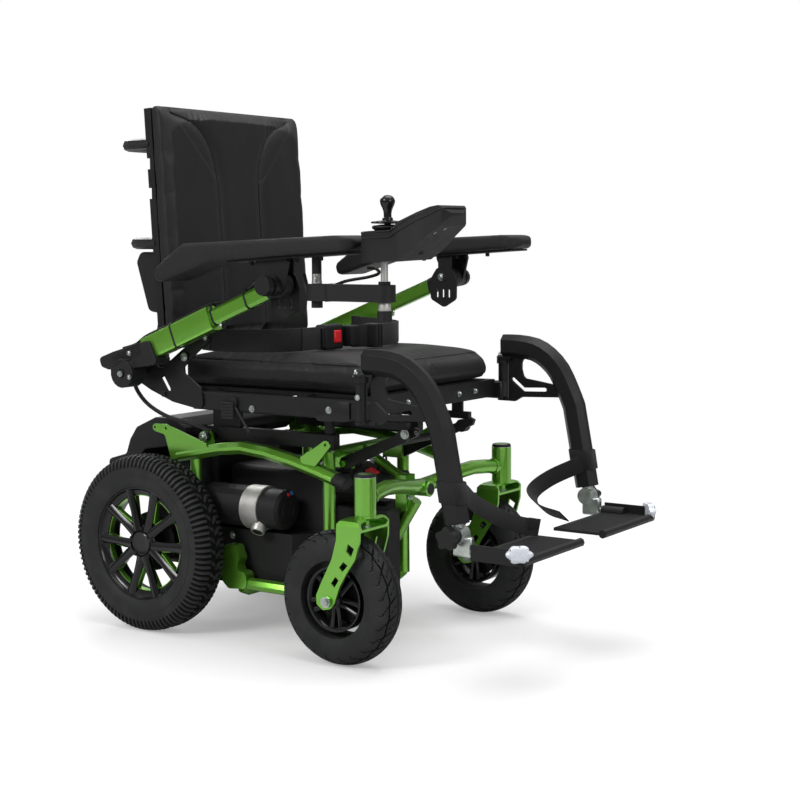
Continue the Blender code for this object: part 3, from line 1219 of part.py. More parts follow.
def build_seat_lever():
    x_low, x_high = SEAT_LEVER_X
    y, z = SEAT_LEVER_HUB
    hub = rod((-x_low, y, z), (-x_high, y, z), SEAT_LEVER_HUB_RADIUS)
    x = -(x_low + x_high) / 2
    tip_y, tip_z = SEAT_LEVER_TIP
    arm = rod((x, y, z), (x, tip_y, tip_z), SEAT_LEVER_BAR, sides=8)
    grip = ball((x, tip_y, tip_z), 0.005, segments=8, rings=6)
    bore = rod((-0.2, y, z), (-0.3, y, z), bore_radius(SEAT_LEVER_PIN, 10), sides=10)
    return node("seat_lever", BLACK_PLASTIC, hub, join=[arm, grip], cut=[bore])


def build_tilt_lever():
    start, roller, tip = (Vector(point) for point in (LEVER_PIVOT, ROLLER, LEVER_TIP))
    along = (tip - start).normalized()
    normal = Vector((-along.y, along.x))
    half = LEVER_DEPTH / 2
    ends = [start - along * 0.011 + normal * half, start - along * 0.011 - normal * half, tip + along * 0.006 - normal * half * 0.8,
            tip + along * 0.006 + normal * half * 0.5]
    outline = rounded([tuple(point) for point in ends], 0.009, 1)
    sides = []
    for _, side in SIDES:
        sides.append(plate(outline, side * LEVER_X, LEVER_THICK, [circle(LEVER_PIVOT, bore_radius(LEVER_PIN_RADIUS))]))
        sides.append(rod((side * ROLLER_X[0], *roller), (side * ROLLER_X[1], *roller), ROLLER_RADIUS, sides=12))
    cross = start.lerp(roller, 0.72)
    middle = rod((-LEVER_X, cross.x, cross.y), (LEVER_X, cross.x, cross.y), 0.008, sides=12)
    lever = node("tilt_lever", BLACK_PAINT, middle, join=sides)
    joint_empty("tilt_lever", (0, *LEVER_PIVOT), children=[lever])


def arm_point(t):
    foot, hub = Vector(ARM_FOOT), Vector(ARM_HUB)
    point = foot.lerp(hub, t)
    return point.x, point.y


def build_arm(word, side):
    x = side * ARM_X
    lower_route = [arm_point(0.10), arm_point(ARM_STEP)]
    lower = bar(lower_route, rectangle(ARM_LOWER_WIDTH, ARM_LOWER_HEIGHT, ARM_CORNER, 2), x)
    upper = bar([arm_point(ARM_STEP - 0.06), arm_point(0.97)], rectangle(ARM_UPPER_WIDTH, ARM_UPPER_HEIGHT, ARM_CORNER * 0.8, 1), x)
    hub = rod((x - ARM_HUB_HALF, *ARM_HUB), (x + ARM_HUB_HALF, *ARM_HUB), ARM_HUB_RADIUS, sides=16)
    bore = rod((x - 0.1, *ARM_HUB), (x + 0.1, *ARM_HUB), bore_radius(PAD_PIN_RADIUS, 10), sides=10)
    arm = node(f"arm_tube_{word}", GREEN, lower, join=[upper, hub], cut=[bore])
    cap_middle = side * (CAP_X[0] + CAP_X[1]) / 2
    cap = plate(rounded(CAP_OUTLINE, 0.008, 2), cap_middle, CAP_X[1] - CAP_X[0])
    hub_disc = rod((side * CAP_HUB_X[0], *BACK_PIVOT), (side * CAP_HUB_X[1], *BACK_PIVOT), CAP_HUB_RADIUS, sides=18)
    socket = bar([arm_point(0.10 - 0.002), arm_point(0.6)],
                 rectangle(ARM_LOWER_WIDTH + 2 * SEAT_GAP, ARM_LOWER_HEIGHT + 2 * SEAT_GAP, ARM_CORNER, 2), x)
    pin_bore = rod((side * 0.2, *BACK_PIVOT), (side * 0.4, *BACK_PIVOT), bore_radius(BACK_PIN_RADIUS, 10), sides=10)
    arm_cap = node(f"arm_cap_{word}", BLACK_PLASTIC, cap, join=[hub_disc], cut=[socket, pin_bore])
    return arm, arm_cap


def pad_underside(y):
    (y_front, z_front), (y_rear, z_rear) = PAD_NOSE[-1], PAD_UNDER[0]
    return z_front + (z_rear - z_front) * (y - y_front) / (y_rear - y_front)


def pad_corner(x, end):
    """What the rounded nose leaves off one front corner of a pad, seen from above."""
    radius = PAD_NOSE_ROUND
    edge = PAD_HALF_WIDTH + 0.004
    front = min(y for y, _ in PAD_NOSE)
    centre = (PAD_HALF_WIDTH + PAD_NOSE_START - radius, front - PAD_NOSE_START + radius)
    arc = [(centre[0] + radius * math.cos(a), centre[1] - radius * math.sin(a))
           for a in (math.pi / 2 * k / 6 for k in range(7))]
    outline = [(edge, centre[1]), *arc, (centre[0], front - 0.006), (edge, front - 0.006)]
    return plate([(x + end * u, v) for u, v in outline], PAD_TOP[-1][1], 0.2, plane="XY")


def build_pad(word, side):
    x = side * ARM_X
    outline = [*PAD_TOP, *PAD_NOSE, *PAD_UNDER]
    pad = plate(rounded(outline, 0.012, 2), x, 2 * PAD_HALF_WIDTH)
    bevel = pad.modifiers.new("Soft edge", "BEVEL")
    bevel.width = PAD_EDGE
    bevel.segments = 2
    bevel.limit_method = "ANGLE"
    bevel.angle_limit = math.radians(60)
    pad = node(f"arm_pad_{word}", UPHOLSTERY, pad, cut=[pad_corner(x, end) for end in (-1, 1)])
    low, high = PAD_PLATE_Y
    drop = SEAT_GAP + PAD_PLATE_THICK / 2 + 0.0002
    under = bar([(high, pad_underside(high) - drop), (low, pad_underside(low) - drop)],
                rectangle(2 * PAD_PLATE_HALF, PAD_PLATE_THICK, 0), x)
    web = plate(rounded(PAD_WEB, 0.006, 1), side * (PAD_WEB_X[0] + PAD_WEB_X[1]) / 2, PAD_WEB_X[1] - PAD_WEB_X[0])
    drum = rod((side * PAD_DRUM_X[0], *ARM_HUB), (side * PAD_DRUM_X[1], *ARM_HUB), PAD_DRUM_RADIUS)
    pin = rod((side * (COMB_X - 0.004), *ARM_HUB), (side * (PAD_KNOB_X[0] + 0.004), *ARM_HUB), PAD_PIN_RADIUS, sides=10)
    knob = rod((side * PAD_KNOB_X[0], *ARM_HUB), (side * PAD_KNOB_X[1], *ARM_HUB), PAD_KNOB_RADIUS, PAD_KNOB_RADIUS - 0.002, 14)
    slots = [slot(((y, COMB_SLOT_Z[0]), (y, COMB_SLOT_Z[1])), COMB_SLOT_RADIUS, 2) for y in COMB_SLOTS]
    comb = plate(rounded(COMB, 0.006, 1), side * COMB_X, COMB_THICK, slots)
    add = [web, drum, pin, knob, comb]
    comb_link = plate(COMB_LINK, side * COMB_X, COMB_THICK - 0.001)
    add.append(comb_link)
    if side == RIGHT:
        top = pad_underside(LINK_PIVOT_Y) - SEAT_GAP - 0.002
        add += [
            rod((STICK_X, LINK_PIVOT_Y, LINK_HEAD_Z[0] + 0.002), (STICK_X, LINK_PIVOT_Y, top), LINK_PIN_RADIUS),
            rod((STICK_X, LINK_PIVOT_Y, LINK_Z[1] + SEAT_GAP), (STICK_X, LINK_PIVOT_Y, top), LINK_COLLAR_RADIUS, sides=10),
            rod((STICK_X, LINK_PIVOT_Y, LINK_HEAD_Z[0]), (STICK_X, LINK_PIVOT_Y, LINK_HEAD_Z[1]), LINK_HEAD_RADIUS, sides=10),
        ]
    bracket = node(f"pad_bracket_{word}", BLACK_PAINT, under, join=add)
    return pad, bracket


def build_joystick():
    rear, front = (STICK_X, LINK_PIVOT_Y), (STICK_X, LINK_FRONT_Y)
    outline = []
    for centre, radius, first, last in ((rear, LINK_REAR_RADIUS, -20, 200), (front, LINK_FRONT_RADIUS, 160, 380)):
        for k in range(9):
            angle = math.radians(first + (last - first) * k / 8)
            outline.append((centre[0] + radius * math.cos(angle), centre[1] + radius * math.sin(angle)))
        waist_y = (rear[1] + front[1]) / 2
        outline.append((STICK_X - LINK_WAIST, waist_y) if centre is rear else (STICK_X + LINK_WAIST, waist_y))
    holes = [circle(rear, bore_radius(LINK_PIN_RADIUS)), circle(front, bore_radius(POST_PIN_RADIUS))]
    link = node("joystick_link", BLACK_PLASTIC, plate(outline, (LINK_Z[0] + LINK_Z[1]) / 2, LINK_Z[1] - LINK_Z[0], holes, "XY"))

    side_view = plate(rounded([PANEL_REAR, PANEL_BREAK, PANEL_FRONT, *SHELL_UNDER], 0.005, 2), STICK_X, SHELL_SPAN)
    plan = []
    for k in range(9):
        angle = math.radians(180 * k / 8)
        plan.append((STICK_X + SHELL_REAR_RADIUS * math.cos(angle), LINK_FRONT_Y + SHELL_REAR_RADIUS * math.sin(angle)))
    half_plan = [
        (SHELL_HALF_WIDTH, SHELL_WAIST_Y[0]), (SHELL_HALF_WIDTH, SHELL_WAIST_Y[1]), (SHELL_NOSE_HALF, SHELL_CORNER_Y), SHELL_TIP,
    ]
    plan += [(STICK_X - u, y) for u, y in half_plan] + [(STICK_X + u, y) for u, y in reversed(half_plan)]
    shell = plate(plan, (PANEL_FRONT[1] + SHELL_UNDER[5][1]) / 2, SHELL_SPAN, plane="XY")
    clip = shell.modifiers.new("Side view", "BOOLEAN")
    clip.operation = "INTERSECT"
    clip.solver = "EXACT"
    clip.object = side_view
    side_view.name = "joystick_box_side_view"
    side_view.display_type = "WIRE"
    side_view.hide_render = True
    CUTTERS.objects.link(side_view)
    post = (STICK_X, LINK_FRONT_Y)
    add = [
        rod((*post, POST_KNOB_Z[1] - 0.003), (*post, SHELL_UNDER[-1][1] - 0.005), POST_PIN_RADIUS),
        rod((*post, POST_KNOB_Z[1] - 0.002), (*post, LINK_Z[0] - SEAT_GAP), COLLAR_RADIUS, sides=10),
        rod((*post, POST_KNOB_Z[0]), (*post, POST_KNOB_Z[1]), POST_KNOB_RADIUS),
        rod((*post, LINK_Z[1] + SEAT_GAP), (*post, LINK_Z[1] + 0.006), COLLAR_RADIUS, sides=10),
    ]
    stick = (STICK_X, STICK_Y)
    panel = Vector(PANEL_FRONT) - Vector(PANEL_BREAK)
    slope = panel.normalized()
    normal = Vector((0, -slope.y, slope.x)) * -1
    place = Vector(PANEL_BREAK) + panel * BUTTON_ALONG
    cuts = [
        rod((*stick, BOOT_Z[0] - SEAT_GAP), (*stick, BALL_Z), BOOT_RADIUS + 2 * SEAT_GAP, sides=24),
        rod((*stick, STICK_PIVOT_Z - GIMBAL_RADIUS - SEAT_GAP), (*stick, BALL_Z), GIMBAL_RADIUS + 0.003),
    ]
    buttons = []
    for number in (-1, 0, 1):
        point = Vector((STICK_X + number * BUTTON_SPACING, place.x, place.y))
        cuts.append(rod(point - normal * BUTTON_POCKET, point + normal * 0.01, BUTTON_RADIUS + SEAT_GAP, sides=8))
        start = point - normal * (BUTTON_POCKET - 0.0017)
        button = node(f"joystick_button_{number + 2}", LIGHT_GREY, rod(start, start + normal * BUTTON_HEIGHT, BUTTON_RADIUS, sides=8))
        buttons.append(button)
    body = node("joystick_box", BLACK_PLASTIC, shell, join=add, cut=cuts)
    boot = node("joystick_boot", RUBBER, turned(
        [(BOOT_HOLE, BOOT_Z[1]), (BOOT_RADIUS - 0.004, BOOT_Z[1]), (BOOT_RADIUS, BOOT_Z[1] - 0.002), (BOOT_RADIUS, BOOT_Z[0]),
         (BOOT_HOLE, BOOT_Z[0])], (*stick, 0), (0, 0, 1), 18))
    gimbal = node("joystick_gimbal", ZINC, ball((*stick, STICK_PIVOT_Z), GIMBAL_RADIUS, segments=10, rings=6))
    foot = STICK_PIVOT_Z + GIMBAL_RADIUS + SEAT_GAP
    neck = 0.0085
    knob = node("joystick_knob", GLOSS_BLACK, turned(
        [
            (0, BALL_Z + BALL_RADIUS), (BALL_RADIUS * 0.55, BALL_Z + BALL_RADIUS * 0.84), (BALL_RADIUS * 0.92, BALL_Z + BALL_RADIUS * 0.40),
            (BALL_RADIUS, BALL_Z), (BALL_RADIUS * 0.85, BALL_Z - BALL_RADIUS * 0.55), (NECK_RADIUS, BALL_Z - BALL_RADIUS),
            (NECK_RADIUS, BALL_Z - BALL_RADIUS - 0.006), (neck, DISC_Z + 0.007), (0.016, DISC_Z + DISC_THICK),
            (DISC_RADIUS, DISC_Z + DISC_THICK / 2), (DISC_RADIUS, DISC_Z - DISC_THICK / 2), (NECK_RADIUS, DISC_Z - DISC_THICK),
            (NECK_RADIUS * 0.8, foot), (0, foot),
        ], (*stick, 0), (0, 0, 1), 14))
    return link, body, boot, gimbal, knob, buttons


def build_hanger(word, side):
    x = side * HANGER_X
    route = [*smooth_line(HANGER_ROUTE, 2), Vector(leg_point(LEG_END_Z))]
    arm = bar(route, rectangle(HANGER_WIDTH, HANGER_DEPTH, HANGER_CORNER, 1), x)
    bracket = plate(
        rounded(HANGER_PLATE, 0.006, 1), x, HANGER_PLATE_THICK,
        [rounded(HANGER_WINDOW, 0.007, 1), slot(HANGER_SLOT, HANGER_SLOT_RADIUS, 3)])
    post_x, post_y = side * HANGER_POST[0], HANGER_POST[1]
    top = HANGER_POST_TOP + SEAT_GAP
    low = HANGER_POST_BOTTOM - SEAT_GAP
    add = [
        bracket,
        rod((post_x, post_y, top), (post_x, post_y, top + LUG_THICK), HANGER_POST_CAP_RADIUS, sides=14),
        box((x - 0.012, post_y - 0.028, top), (x + 0.012, post_y - 0.004, top + LUG_THICK)),
        rod((post_x, post_y, top + 0.001), (post_x, post_y, HANGER_POST_TOP - HANGER_PIN_DEPTH + 0.004), HANGER_PIN_RADIUS, sides=10),
        rod((post_x, post_y, low), (post_x, post_y, low - LUG_THICK), 0.0125),
        box((x - 0.006, post_y - 0.030, low - LUG_THICK), (x + 0.006, post_y - 0.004, low)),
        rod((post_x, post_y, low - 0.001), (post_x, post_y, HANGER_POST_BOTTOM + 0.014), HANGER_PIN_RADIUS, sides=10),
    ]
    socket_low = leg_point(LEG_END_Z - 0.02)
    socket_top = leg_point(FOOT_SOCKET_TOP)
    socket = rod((x, *socket_low), (x, *socket_top), FOOT_TUBE_RADIUS + SEAT_GAP)
    return node(f"hanger_{word}", BLACK_PAINT, arm, join=add, cut=[socket])


def leg_point(z):
    return LEG_POINT[0] - LEG_LEAN * (LEG_POINT[1] - z), z


def build_foot(word, side):
    x = side * HANGER_X
    tube_rod = rod((x, *leg_point(KNUCKLE[1] + 0.002)), (x, *leg_point(FOOT_TUBE_TOP)), FOOT_TUBE_RADIUS)
    knuckle = rod((side * KNUCKLE_X[0], *KNUCKLE), (side * KNUCKLE_X[1], *KNUCKLE), KNUCKLE_RADIUS, sides=14)
    arm = box(*mirrored(side, FOOT_ARM), 0.003)
    flip_x, flip_z = side * FLIP_AXIS[0], FLIP_AXIS[1]
    pin = rod((flip_x, FOOT_ARM[0][1] + 0.004, flip_z), (flip_x, FLIP_PIN_END, flip_z), FLIP_PIN_RADIUS, sides=10)
    star_pin = rod((side * (KNUCKLE_X[1] - 0.004), *STAR_CENTRE), (side * (STAR_X[1] - 0.004), *STAR_CENTRE), STAR_PIN_RADIUS, sides=10)
    foot = node(f"foot_tube_{word}", ZINC, tube_rod, join=[knuckle, arm, pin, star_pin])
    lobes = 30
    outline = []
    for k in range(lobes):
        angle = 2 * math.pi * k / lobes
        radius = STAR_RADIUS + STAR_LOBE * math.cos(5 * angle)
        outline.append((STAR_CENTRE[0] + radius * math.sin(angle), STAR_CENTRE[1] + radius * math.cos(angle)))
    star = plate(outline, side * (STAR_X[0] + STAR_X[1]) / 2, STAR_X[1] - STAR_X[0])
    bore = rod((side * (STAR_X[0] - 0.01), *STAR_CENTRE), (side * (STAR_X[1] - 0.003), *STAR_CENTRE), bore_radius(STAR_PIN_RADIUS, 10), sides=10)
    star = node(f"star_knob_{word}", BLACK_PLASTIC, star, cut=[bore])
    slab = side_box(side, (PLATE_INNER, PLATE_OUTER - 0.001), PLATE_Y, PLATE_Z)
    flange = side_box(side, (PLATE_OUTER - FLANGE_THICK, PLATE_OUTER), (PLATE_Y[0] - 0.004, PLATE_Y[1]), FLANGE_Z)
    front = rod((side * (PLATE_INNER + 0.002), *FRONT_BAR), (side * (PLATE_OUTER - 0.004), *FRONT_BAR), FRONT_BAR_RADIUS, sides=8)
    web = side_box(side, (PLATE_INNER + 0.004, PLATE_OUTER - 0.003), (PLATE_Y[0] - 0.004, PLATE_Y[0] + 0.004), (PLATE_Z[0] + 0.001, PLATE_Z[1] - 0.001))
    barrel = rod((flip_x, PLATE_Y[1], flip_z), (flip_x, FLIP_PIN_END - 0.006, flip_z), FLIP_BARREL_RADIUS, sides=10)
    bore = rod((flip_x, PLATE_Y[1] + 0.05, flip_z), (flip_x, FLIP_PIN_END - 0.001, flip_z), bore_radius(FLIP_PIN_RADIUS, 10), sides=10)
    half_width, half_height = REFLECTOR_SIZE
    outline = []
    for k in range(16):
        angle = 2 * math.pi * k / 16
        swell = 1 + 0.05 * math.cos(8 * angle)
        outline.append((half_width * swell * math.cos(angle), half_height * swell * math.sin(angle)))
    x_mid, y_mid, z_mid = REFLECTOR
    turn = Matrix.Translation((side * x_mid, y_mid, z_mid)) @ Matrix.Rotation(math.radians(side * REFLECTOR_TURN), 4, "Z")
    lens = plate(outline, 0.004, 0.006, plane="XZ", turn=turn @ Matrix.Rotation(math.pi, 4, "Z"))
    plate_node = node(f"footplate_{word}", BLACK_PLASTIC, slab, join=[flange, front, web, barrel, lens], cut=[bore])
    strap = node(f"heel_strap_{word}", WEBBING, ribbon([(side * px, y, z) for px, y, z in STRAP_ROUTE[word]], STRAP_THICK, STRAP_HEIGHT))
    return foot, star, plate_node, strap


def build_cable(name, route, radius):
    curve = tube(smooth_line(route, CABLE_STEPS), radius, 2)
    return node(name, BLACK_PLASTIC, bpy.data.objects.new("cable", curve))


def build():
    base = [build_base_frame(), build_battery_box(), build_rear_cover()]
    for word, side in SIDES:
        base += [build_arch_beam(word, side), build_motor(word, side)]
        build_drive_wheel(word, side)
    build_freewheel_lever()
    front_axle = build_front_axle()
    for word, side in SIDES:
        build_caster(word, side, front_axle)
    build_tilt_lever()

    belt_right, belt_left, press = build_belts()
    seat_parts = [build_seat_frame(), build_seat_cushion(), belt_right, belt_left]
    seat_parts += [build_side_plate(word, side) for word, side in SIDES]
    seat_parts.append(build_cable("cable_lower", CABLE_LOWER_ROUTE, CABLE_RADIUS))
    seat = joint_empty("seat", (0, *TILT_PIVOT), children=seat_parts)
    joint_empty("buckle_button", (sum(PRESS_X) / 2, PRESS_Y[0], sum(PRESS_Z) / 2), seat, [press])
    joint_empty("seat_lever", (-SEAT_LEVER_X[0], *SEAT_LEVER_HUB), seat, [build_seat_lever()])
    joint_empty("back", (0, *BACK_PIVOT), seat, [build_back_frame(), build_back_cushion(), build_back_cover()])

    for word, side in SIDES:
        arm_parts = list(build_arm(word, side))
        if side == RIGHT:
            arm_parts.append(build_cable("cable_arm", CABLE_ARM_ROUTE, CABLE_SMALL_RADIUS))
        arm = joint_empty(f"arm_{word}", (side * ARM_X, *BACK_PIVOT), seat, arm_parts)
        pad = joint_empty(f"pad_{word}", (side * ARM_X, *ARM_HUB), arm, build_pad(word, side))
        if side == RIGHT:
            link, body, boot, gimbal, knob, buttons = build_joystick()
            cable = build_cable("cable_joystick", CABLE_STICK_ROUTE, CABLE_SMALL_RADIUS)
            link_joint = joint_empty("joystick_link", (STICK_X, LINK_PIVOT_Y, LINK_Z[0]), pad, [link, cable])
            box_joint = joint_empty("joystick_box", (STICK_X, LINK_FRONT_Y, LINK_Z[1]), link_joint, [body, boot])
            gimbal_joint = joint_empty("joystick_pitch", (STICK_X, STICK_Y, STICK_PIVOT_Z), box_joint, [gimbal])
            joint_empty("joystick_roll", (STICK_X, STICK_Y, STICK_PIVOT_Z), gimbal_joint, [knob])
            for button in buttons:
                centre = sum((Vector(corner) for corner in button.bound_box), Vector()) / 8
                joint_empty(button.name, tuple(centre), box_joint, [button])
        foot, star, footplate, strap = build_foot(word, side)
        hanger = joint_empty(f"hanger_{word}", (side * HANGER_POST[0], HANGER_POST[1], HANGER_POST_TOP), seat,
                             [build_hanger(word, side), strap])
        foot_joint = joint_empty(f"foot_tube_{word}", (side * HANGER_X, *leg_point(LEG_END_Z)), hanger, [foot])
        joint_empty(f"star_knob_{word}", (side * STAR_X[0], *STAR_CENTRE), foot_joint, [star])
        joint_empty(f"footplate_{word}", (side * FLIP_AXIS[0], PLATE_Y[1], FLIP_AXIS[1]), foot_joint, [footplate])


build()
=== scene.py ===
# %% [markdown]
# # A powered wheelchair, dressed
#
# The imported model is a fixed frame: sixty plain solids in metres, with Z up, the occupant facing -Y
# and the joystick on the -X side. Nothing in this file moves them. Each cell gives one piece or one
# finish the look of the real thing, and fastens it to the body that carries it.

# %% Load the frame
import json
import math
import bmesh
import bpy
from mathutils import Matrix, Vector, noise
from mathutils.bvhtree import BVHTree


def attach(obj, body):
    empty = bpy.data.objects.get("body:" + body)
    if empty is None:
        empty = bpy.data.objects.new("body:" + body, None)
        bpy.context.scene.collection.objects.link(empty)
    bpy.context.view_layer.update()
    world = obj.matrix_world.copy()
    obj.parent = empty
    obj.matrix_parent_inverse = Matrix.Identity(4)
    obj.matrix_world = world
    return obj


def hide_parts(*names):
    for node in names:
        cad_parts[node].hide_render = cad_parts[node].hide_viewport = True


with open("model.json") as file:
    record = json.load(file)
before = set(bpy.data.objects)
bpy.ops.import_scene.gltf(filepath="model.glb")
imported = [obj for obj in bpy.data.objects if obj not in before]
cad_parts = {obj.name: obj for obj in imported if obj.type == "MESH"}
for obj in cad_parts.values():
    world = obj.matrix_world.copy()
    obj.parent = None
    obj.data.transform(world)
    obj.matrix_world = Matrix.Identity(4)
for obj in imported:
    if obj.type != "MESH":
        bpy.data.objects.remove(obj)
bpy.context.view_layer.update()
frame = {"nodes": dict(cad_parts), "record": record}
NODES = frame["nodes"]
BODY_OF = {n: body for body, ns in frame["record"]["behaviour"]["bodies"].items() for n in ns}
SLOT_OF = {row["node"]: row["material_slot"] for row in frame["record"]["subparts"]}
SIDES = (("right", -1), ("left", 1))
TURN = 2 * math.pi


def new_object(name, data):
    made = bpy.data.objects.new(name, data)
    bpy.context.scene.collection.objects.link(made)
    return made


# %% [markdown]
# ## The camera
#
# The photograph was taken with a long lens from the front right. Two wheels of known size, the ground
# and the left and right pairs give the camera's place, so the view here is worked out and not judged
# by eye. The small shift is the photograph's own framing.

# %% Camera
CAMERA_PLACE = Vector((-2.5810, -1.8774, 0.8096))
CAMERA_YAW, CAMERA_PITCH, CAMERA_ROLL = (math.radians(a) for a in (56.81, 5.50, -0.263))
FOCAL_PIXELS, IMAGE_SIDE = 1558.96, 800
CENTRE_PIXEL = (437.02, 386.78)
SENSOR_MM = 36


def make_camera():
    data = bpy.data.cameras.new("camera")
    camera = new_object("camera", data)
    level = math.cos(CAMERA_PITCH)
    look = Vector((math.sin(CAMERA_YAW) * level, math.cos(CAMERA_YAW) * level, -math.sin(CAMERA_PITCH)))
    across = Vector((math.cos(CAMERA_YAW), -math.sin(CAMERA_YAW), 0))
    up = across.cross(look)
    right = math.cos(CAMERA_ROLL) * across + math.sin(CAMERA_ROLL) * up
    top = -math.sin(CAMERA_ROLL) * across + math.cos(CAMERA_ROLL) * up
    camera.matrix_world = Matrix.Translation(CAMERA_PLACE) @ Matrix((right, top, -look)).transposed().to_4x4()
    data.sensor_width = SENSOR_MM
    data.lens = FOCAL_PIXELS * SENSOR_MM / IMAGE_SIDE
    data.shift_x = (IMAGE_SIDE / 2 - CENTRE_PIXEL[0]) / IMAGE_SIDE
    data.shift_y = (CENTRE_PIXEL[1] - IMAGE_SIDE / 2) / IMAGE_SIDE
    data.clip_end = 60
    bpy.context.scene.camera = camera
    print("lens", round(data.lens, 1), "mm")


make_camera()

# %% [markdown]
# ## Shader maths as Python
#
# A material is a small sum: a dark base, plus a little noise, times a mask. `Value` wraps one socket so
# that such sums read as Python. `Finish` is one material: its `node` method adds any other node.


# %% Values and finishes
class Value:
    """A node's output that takes part in sums; each step adds one Math node."""

    def __init__(self, finish, socket):
        self.finish, self.socket = finish, socket

    def join(self, operation, other):
        return self.finish.node("ShaderNodeMath", {"operation": operation}, {0: self, 1: other})

    def __add__(self, other):
        return self.join("ADD", other)

    def __mul__(self, other):
        return self.join("MULTIPLY", other)

    __radd__, __rmul__ = __add__, __mul__


class Finish:
    """One material. Constants sit on the shader's own sockets; only what varies is linked."""

    def __init__(self, name, colour, roughness, metallic=0.0, **sockets):
        self.material = bpy.data.materials.new(name)
        self.material.use_nodes = True
        self.tree = self.material.node_tree
        self.shader = self.tree.nodes["Principled BSDF"]
        self.colour = (*colour, 1.0)
        self.set("Base Color", self.colour)
        self.set("Roughness", roughness)
        self.set("Metallic", metallic)
        for key, value in sockets.items():
            self.set(key.replace("_", " "), value)
        self.material.diffuse_color = self.colour

    def set(self, name, value):
        self.plug(self.shader.inputs[name], value)

    def plug(self, socket, value):
        if isinstance(value, Value):
            self.tree.links.new(value.socket, socket)
        else:
            socket.default_value = value

    def node(self, kind, settings=None, values=None, output=0):
        made = self.tree.nodes.new(kind)
        for key, value in (settings or {}).items():
            setattr(made, key, value)
        for key, value in (values or {}).items():
            self.plug(made.inputs[key], value)
        return Value(self, made.outputs[output])

    def place(self):
        """Object coordinates, in metres, since every piece's object sits at the origin."""
        return self.node("ShaderNodeTexCoord", output="Object")

    def noise(self, scale, detail=3.0):
        return self.node("ShaderNodeTexNoise", {}, {"Vector": self.place(), "Scale": scale, "Detail": detail})

    def cells(self, scale, output=0, **settings):
        return self.node("ShaderNodeTexVoronoi", settings, {"Vector": self.place(), "Scale": scale}, output)

    def ramp(self, value, low, high, shade_low=0.0, shade_high=1.0):
        return self.node("ShaderNodeMapRange", {}, {
            "Value": value, "From Min": low, "From Max": high, "To Min": shade_low, "To Max": shade_high})

    def patches(self, scale, detail, low, high):
        """A mask that is 0 where a noise is below low and 1 where it is above high."""
        return self.ramp(self.noise(scale, detail), low, high)

    def blend(self, mask, first, second):
        return self.node("ShaderNodeMix", {"data_type": "RGBA"}, {0: mask, 6: first, 7: second}, output=2)

    def tint(self, mask, other):
        """The base colour runs towards another one where the mask is high."""
        self.set("Base Color", self.blend(mask, self.colour, (*other, 1.0)))

    def gloss(self, low, span, scale, detail=3.0):
        """The roughness wanders from low to low + span."""
        self.set("Roughness", low + self.noise(scale, detail) * span)

    def bump(self, height, depth):
        """Height is 0 to 1 and depth is its size in metres; several bumps add up."""
        values = {"Height": height, "Distance": depth, "Strength": 1.0}
        before = self.shader.inputs["Normal"].links
        if before:
            values["Normal"] = Value(self, before[0].from_socket)
        self.set("Normal", self.node("ShaderNodeBump", {}, values))

    def grain(self, depth, scale, detail=3.0):
        self.bump(self.noise(scale, detail), depth)


# %% [markdown]
# ## Paint, plastic, rubber and metal
#
# The frame is a green metallic paint: a coloured metal under a clear coat, with a faint sparkle and
# the orange peel of powder coating. The seat's steel is a satin black powder coat, and the housings a
# grained black moulding. Each finish breaks up its own gloss with two sizes of noise, because a real
# surface never has one even shine.

# %% Paints
green = Finish("green metallic paint", (0.140, 0.40, 0.042), 0.26, 0.80, Coat_Roughness=0.10)
sparkle = green.node("ShaderNodeSeparateColor", {}, {"Color": green.cells(1500.0, "Color")})
clouds = green.noise(9.0, 2.0)
green.tint(sparkle * 0.30 + clouds * 0.25, (0.26, 0.62, 0.05))
green.gloss(0.25, 0.11, 160.0)
green.set("Coat Weight", 0.55 + clouds * 0.35)
green.grain(0.00008, 420.0, 1.0)

black_paint = Finish("black powder coat", (0.009, 0.009, 0.0095), 0.40, Specular_IOR_Level=0.26)
black_paint.gloss(0.33, 0.16, 70.0, 4.0)
black_paint.tint(black_paint.patches(11.0, 5.0, 0.55, 0.8), (0.014, 0.014, 0.0145))
black_paint.grain(0.00010, 900.0, 2.0)

print("paints:", green.material.name, "and", black_paint.material.name)

# %% Moulded plastics
black_plastic = Finish("grained black plastic", (0.010, 0.010, 0.0105), 0.52, Specular_IOR_Level=0.26)
black_plastic.gloss(0.44, 0.18, 55.0, 4.0)
black_plastic.tint(black_plastic.patches(7.0, 6.0, 0.5, 0.85), (0.016, 0.016, 0.0165))
black_plastic.bump(black_plastic.cells(1100.0), 0.00012)

gloss_black = Finish("gloss black plastic", (0.006, 0.006, 0.0065), 0.16, Specular_IOR_Level=0.34)
gloss_black.gloss(0.12, 0.14, 40.0, 5.0)
gloss_black.grain(0.00005, 130.0, 1.0)

red_plastic = Finish("red plastic", (0.62, 0.012, 0.018), 0.34)
red_plastic.gloss(0.28, 0.15, 90.0)
red_plastic.grain(0.00008, 700.0)

grey_plastic = Finish("light grey plastic", (0.52, 0.52, 0.53), 0.42)
grey_plastic.gloss(0.36, 0.15, 90.0)

reflector = Finish("white reflector", (0.78, 0.81, 0.86), 0.16, Coat_Weight=0.6, Coat_Roughness=0.05)
prisms = reflector.cells(420.0, feature="F1", distance="CHEBYCHEV")
reflector.tint(reflector.ramp(prisms, 0.2, 0.7), (0.60, 0.66, 0.74))
reflector.bump(prisms, 0.0004)
print("plastics: grained, gloss, red, grey and the reflectors' white")

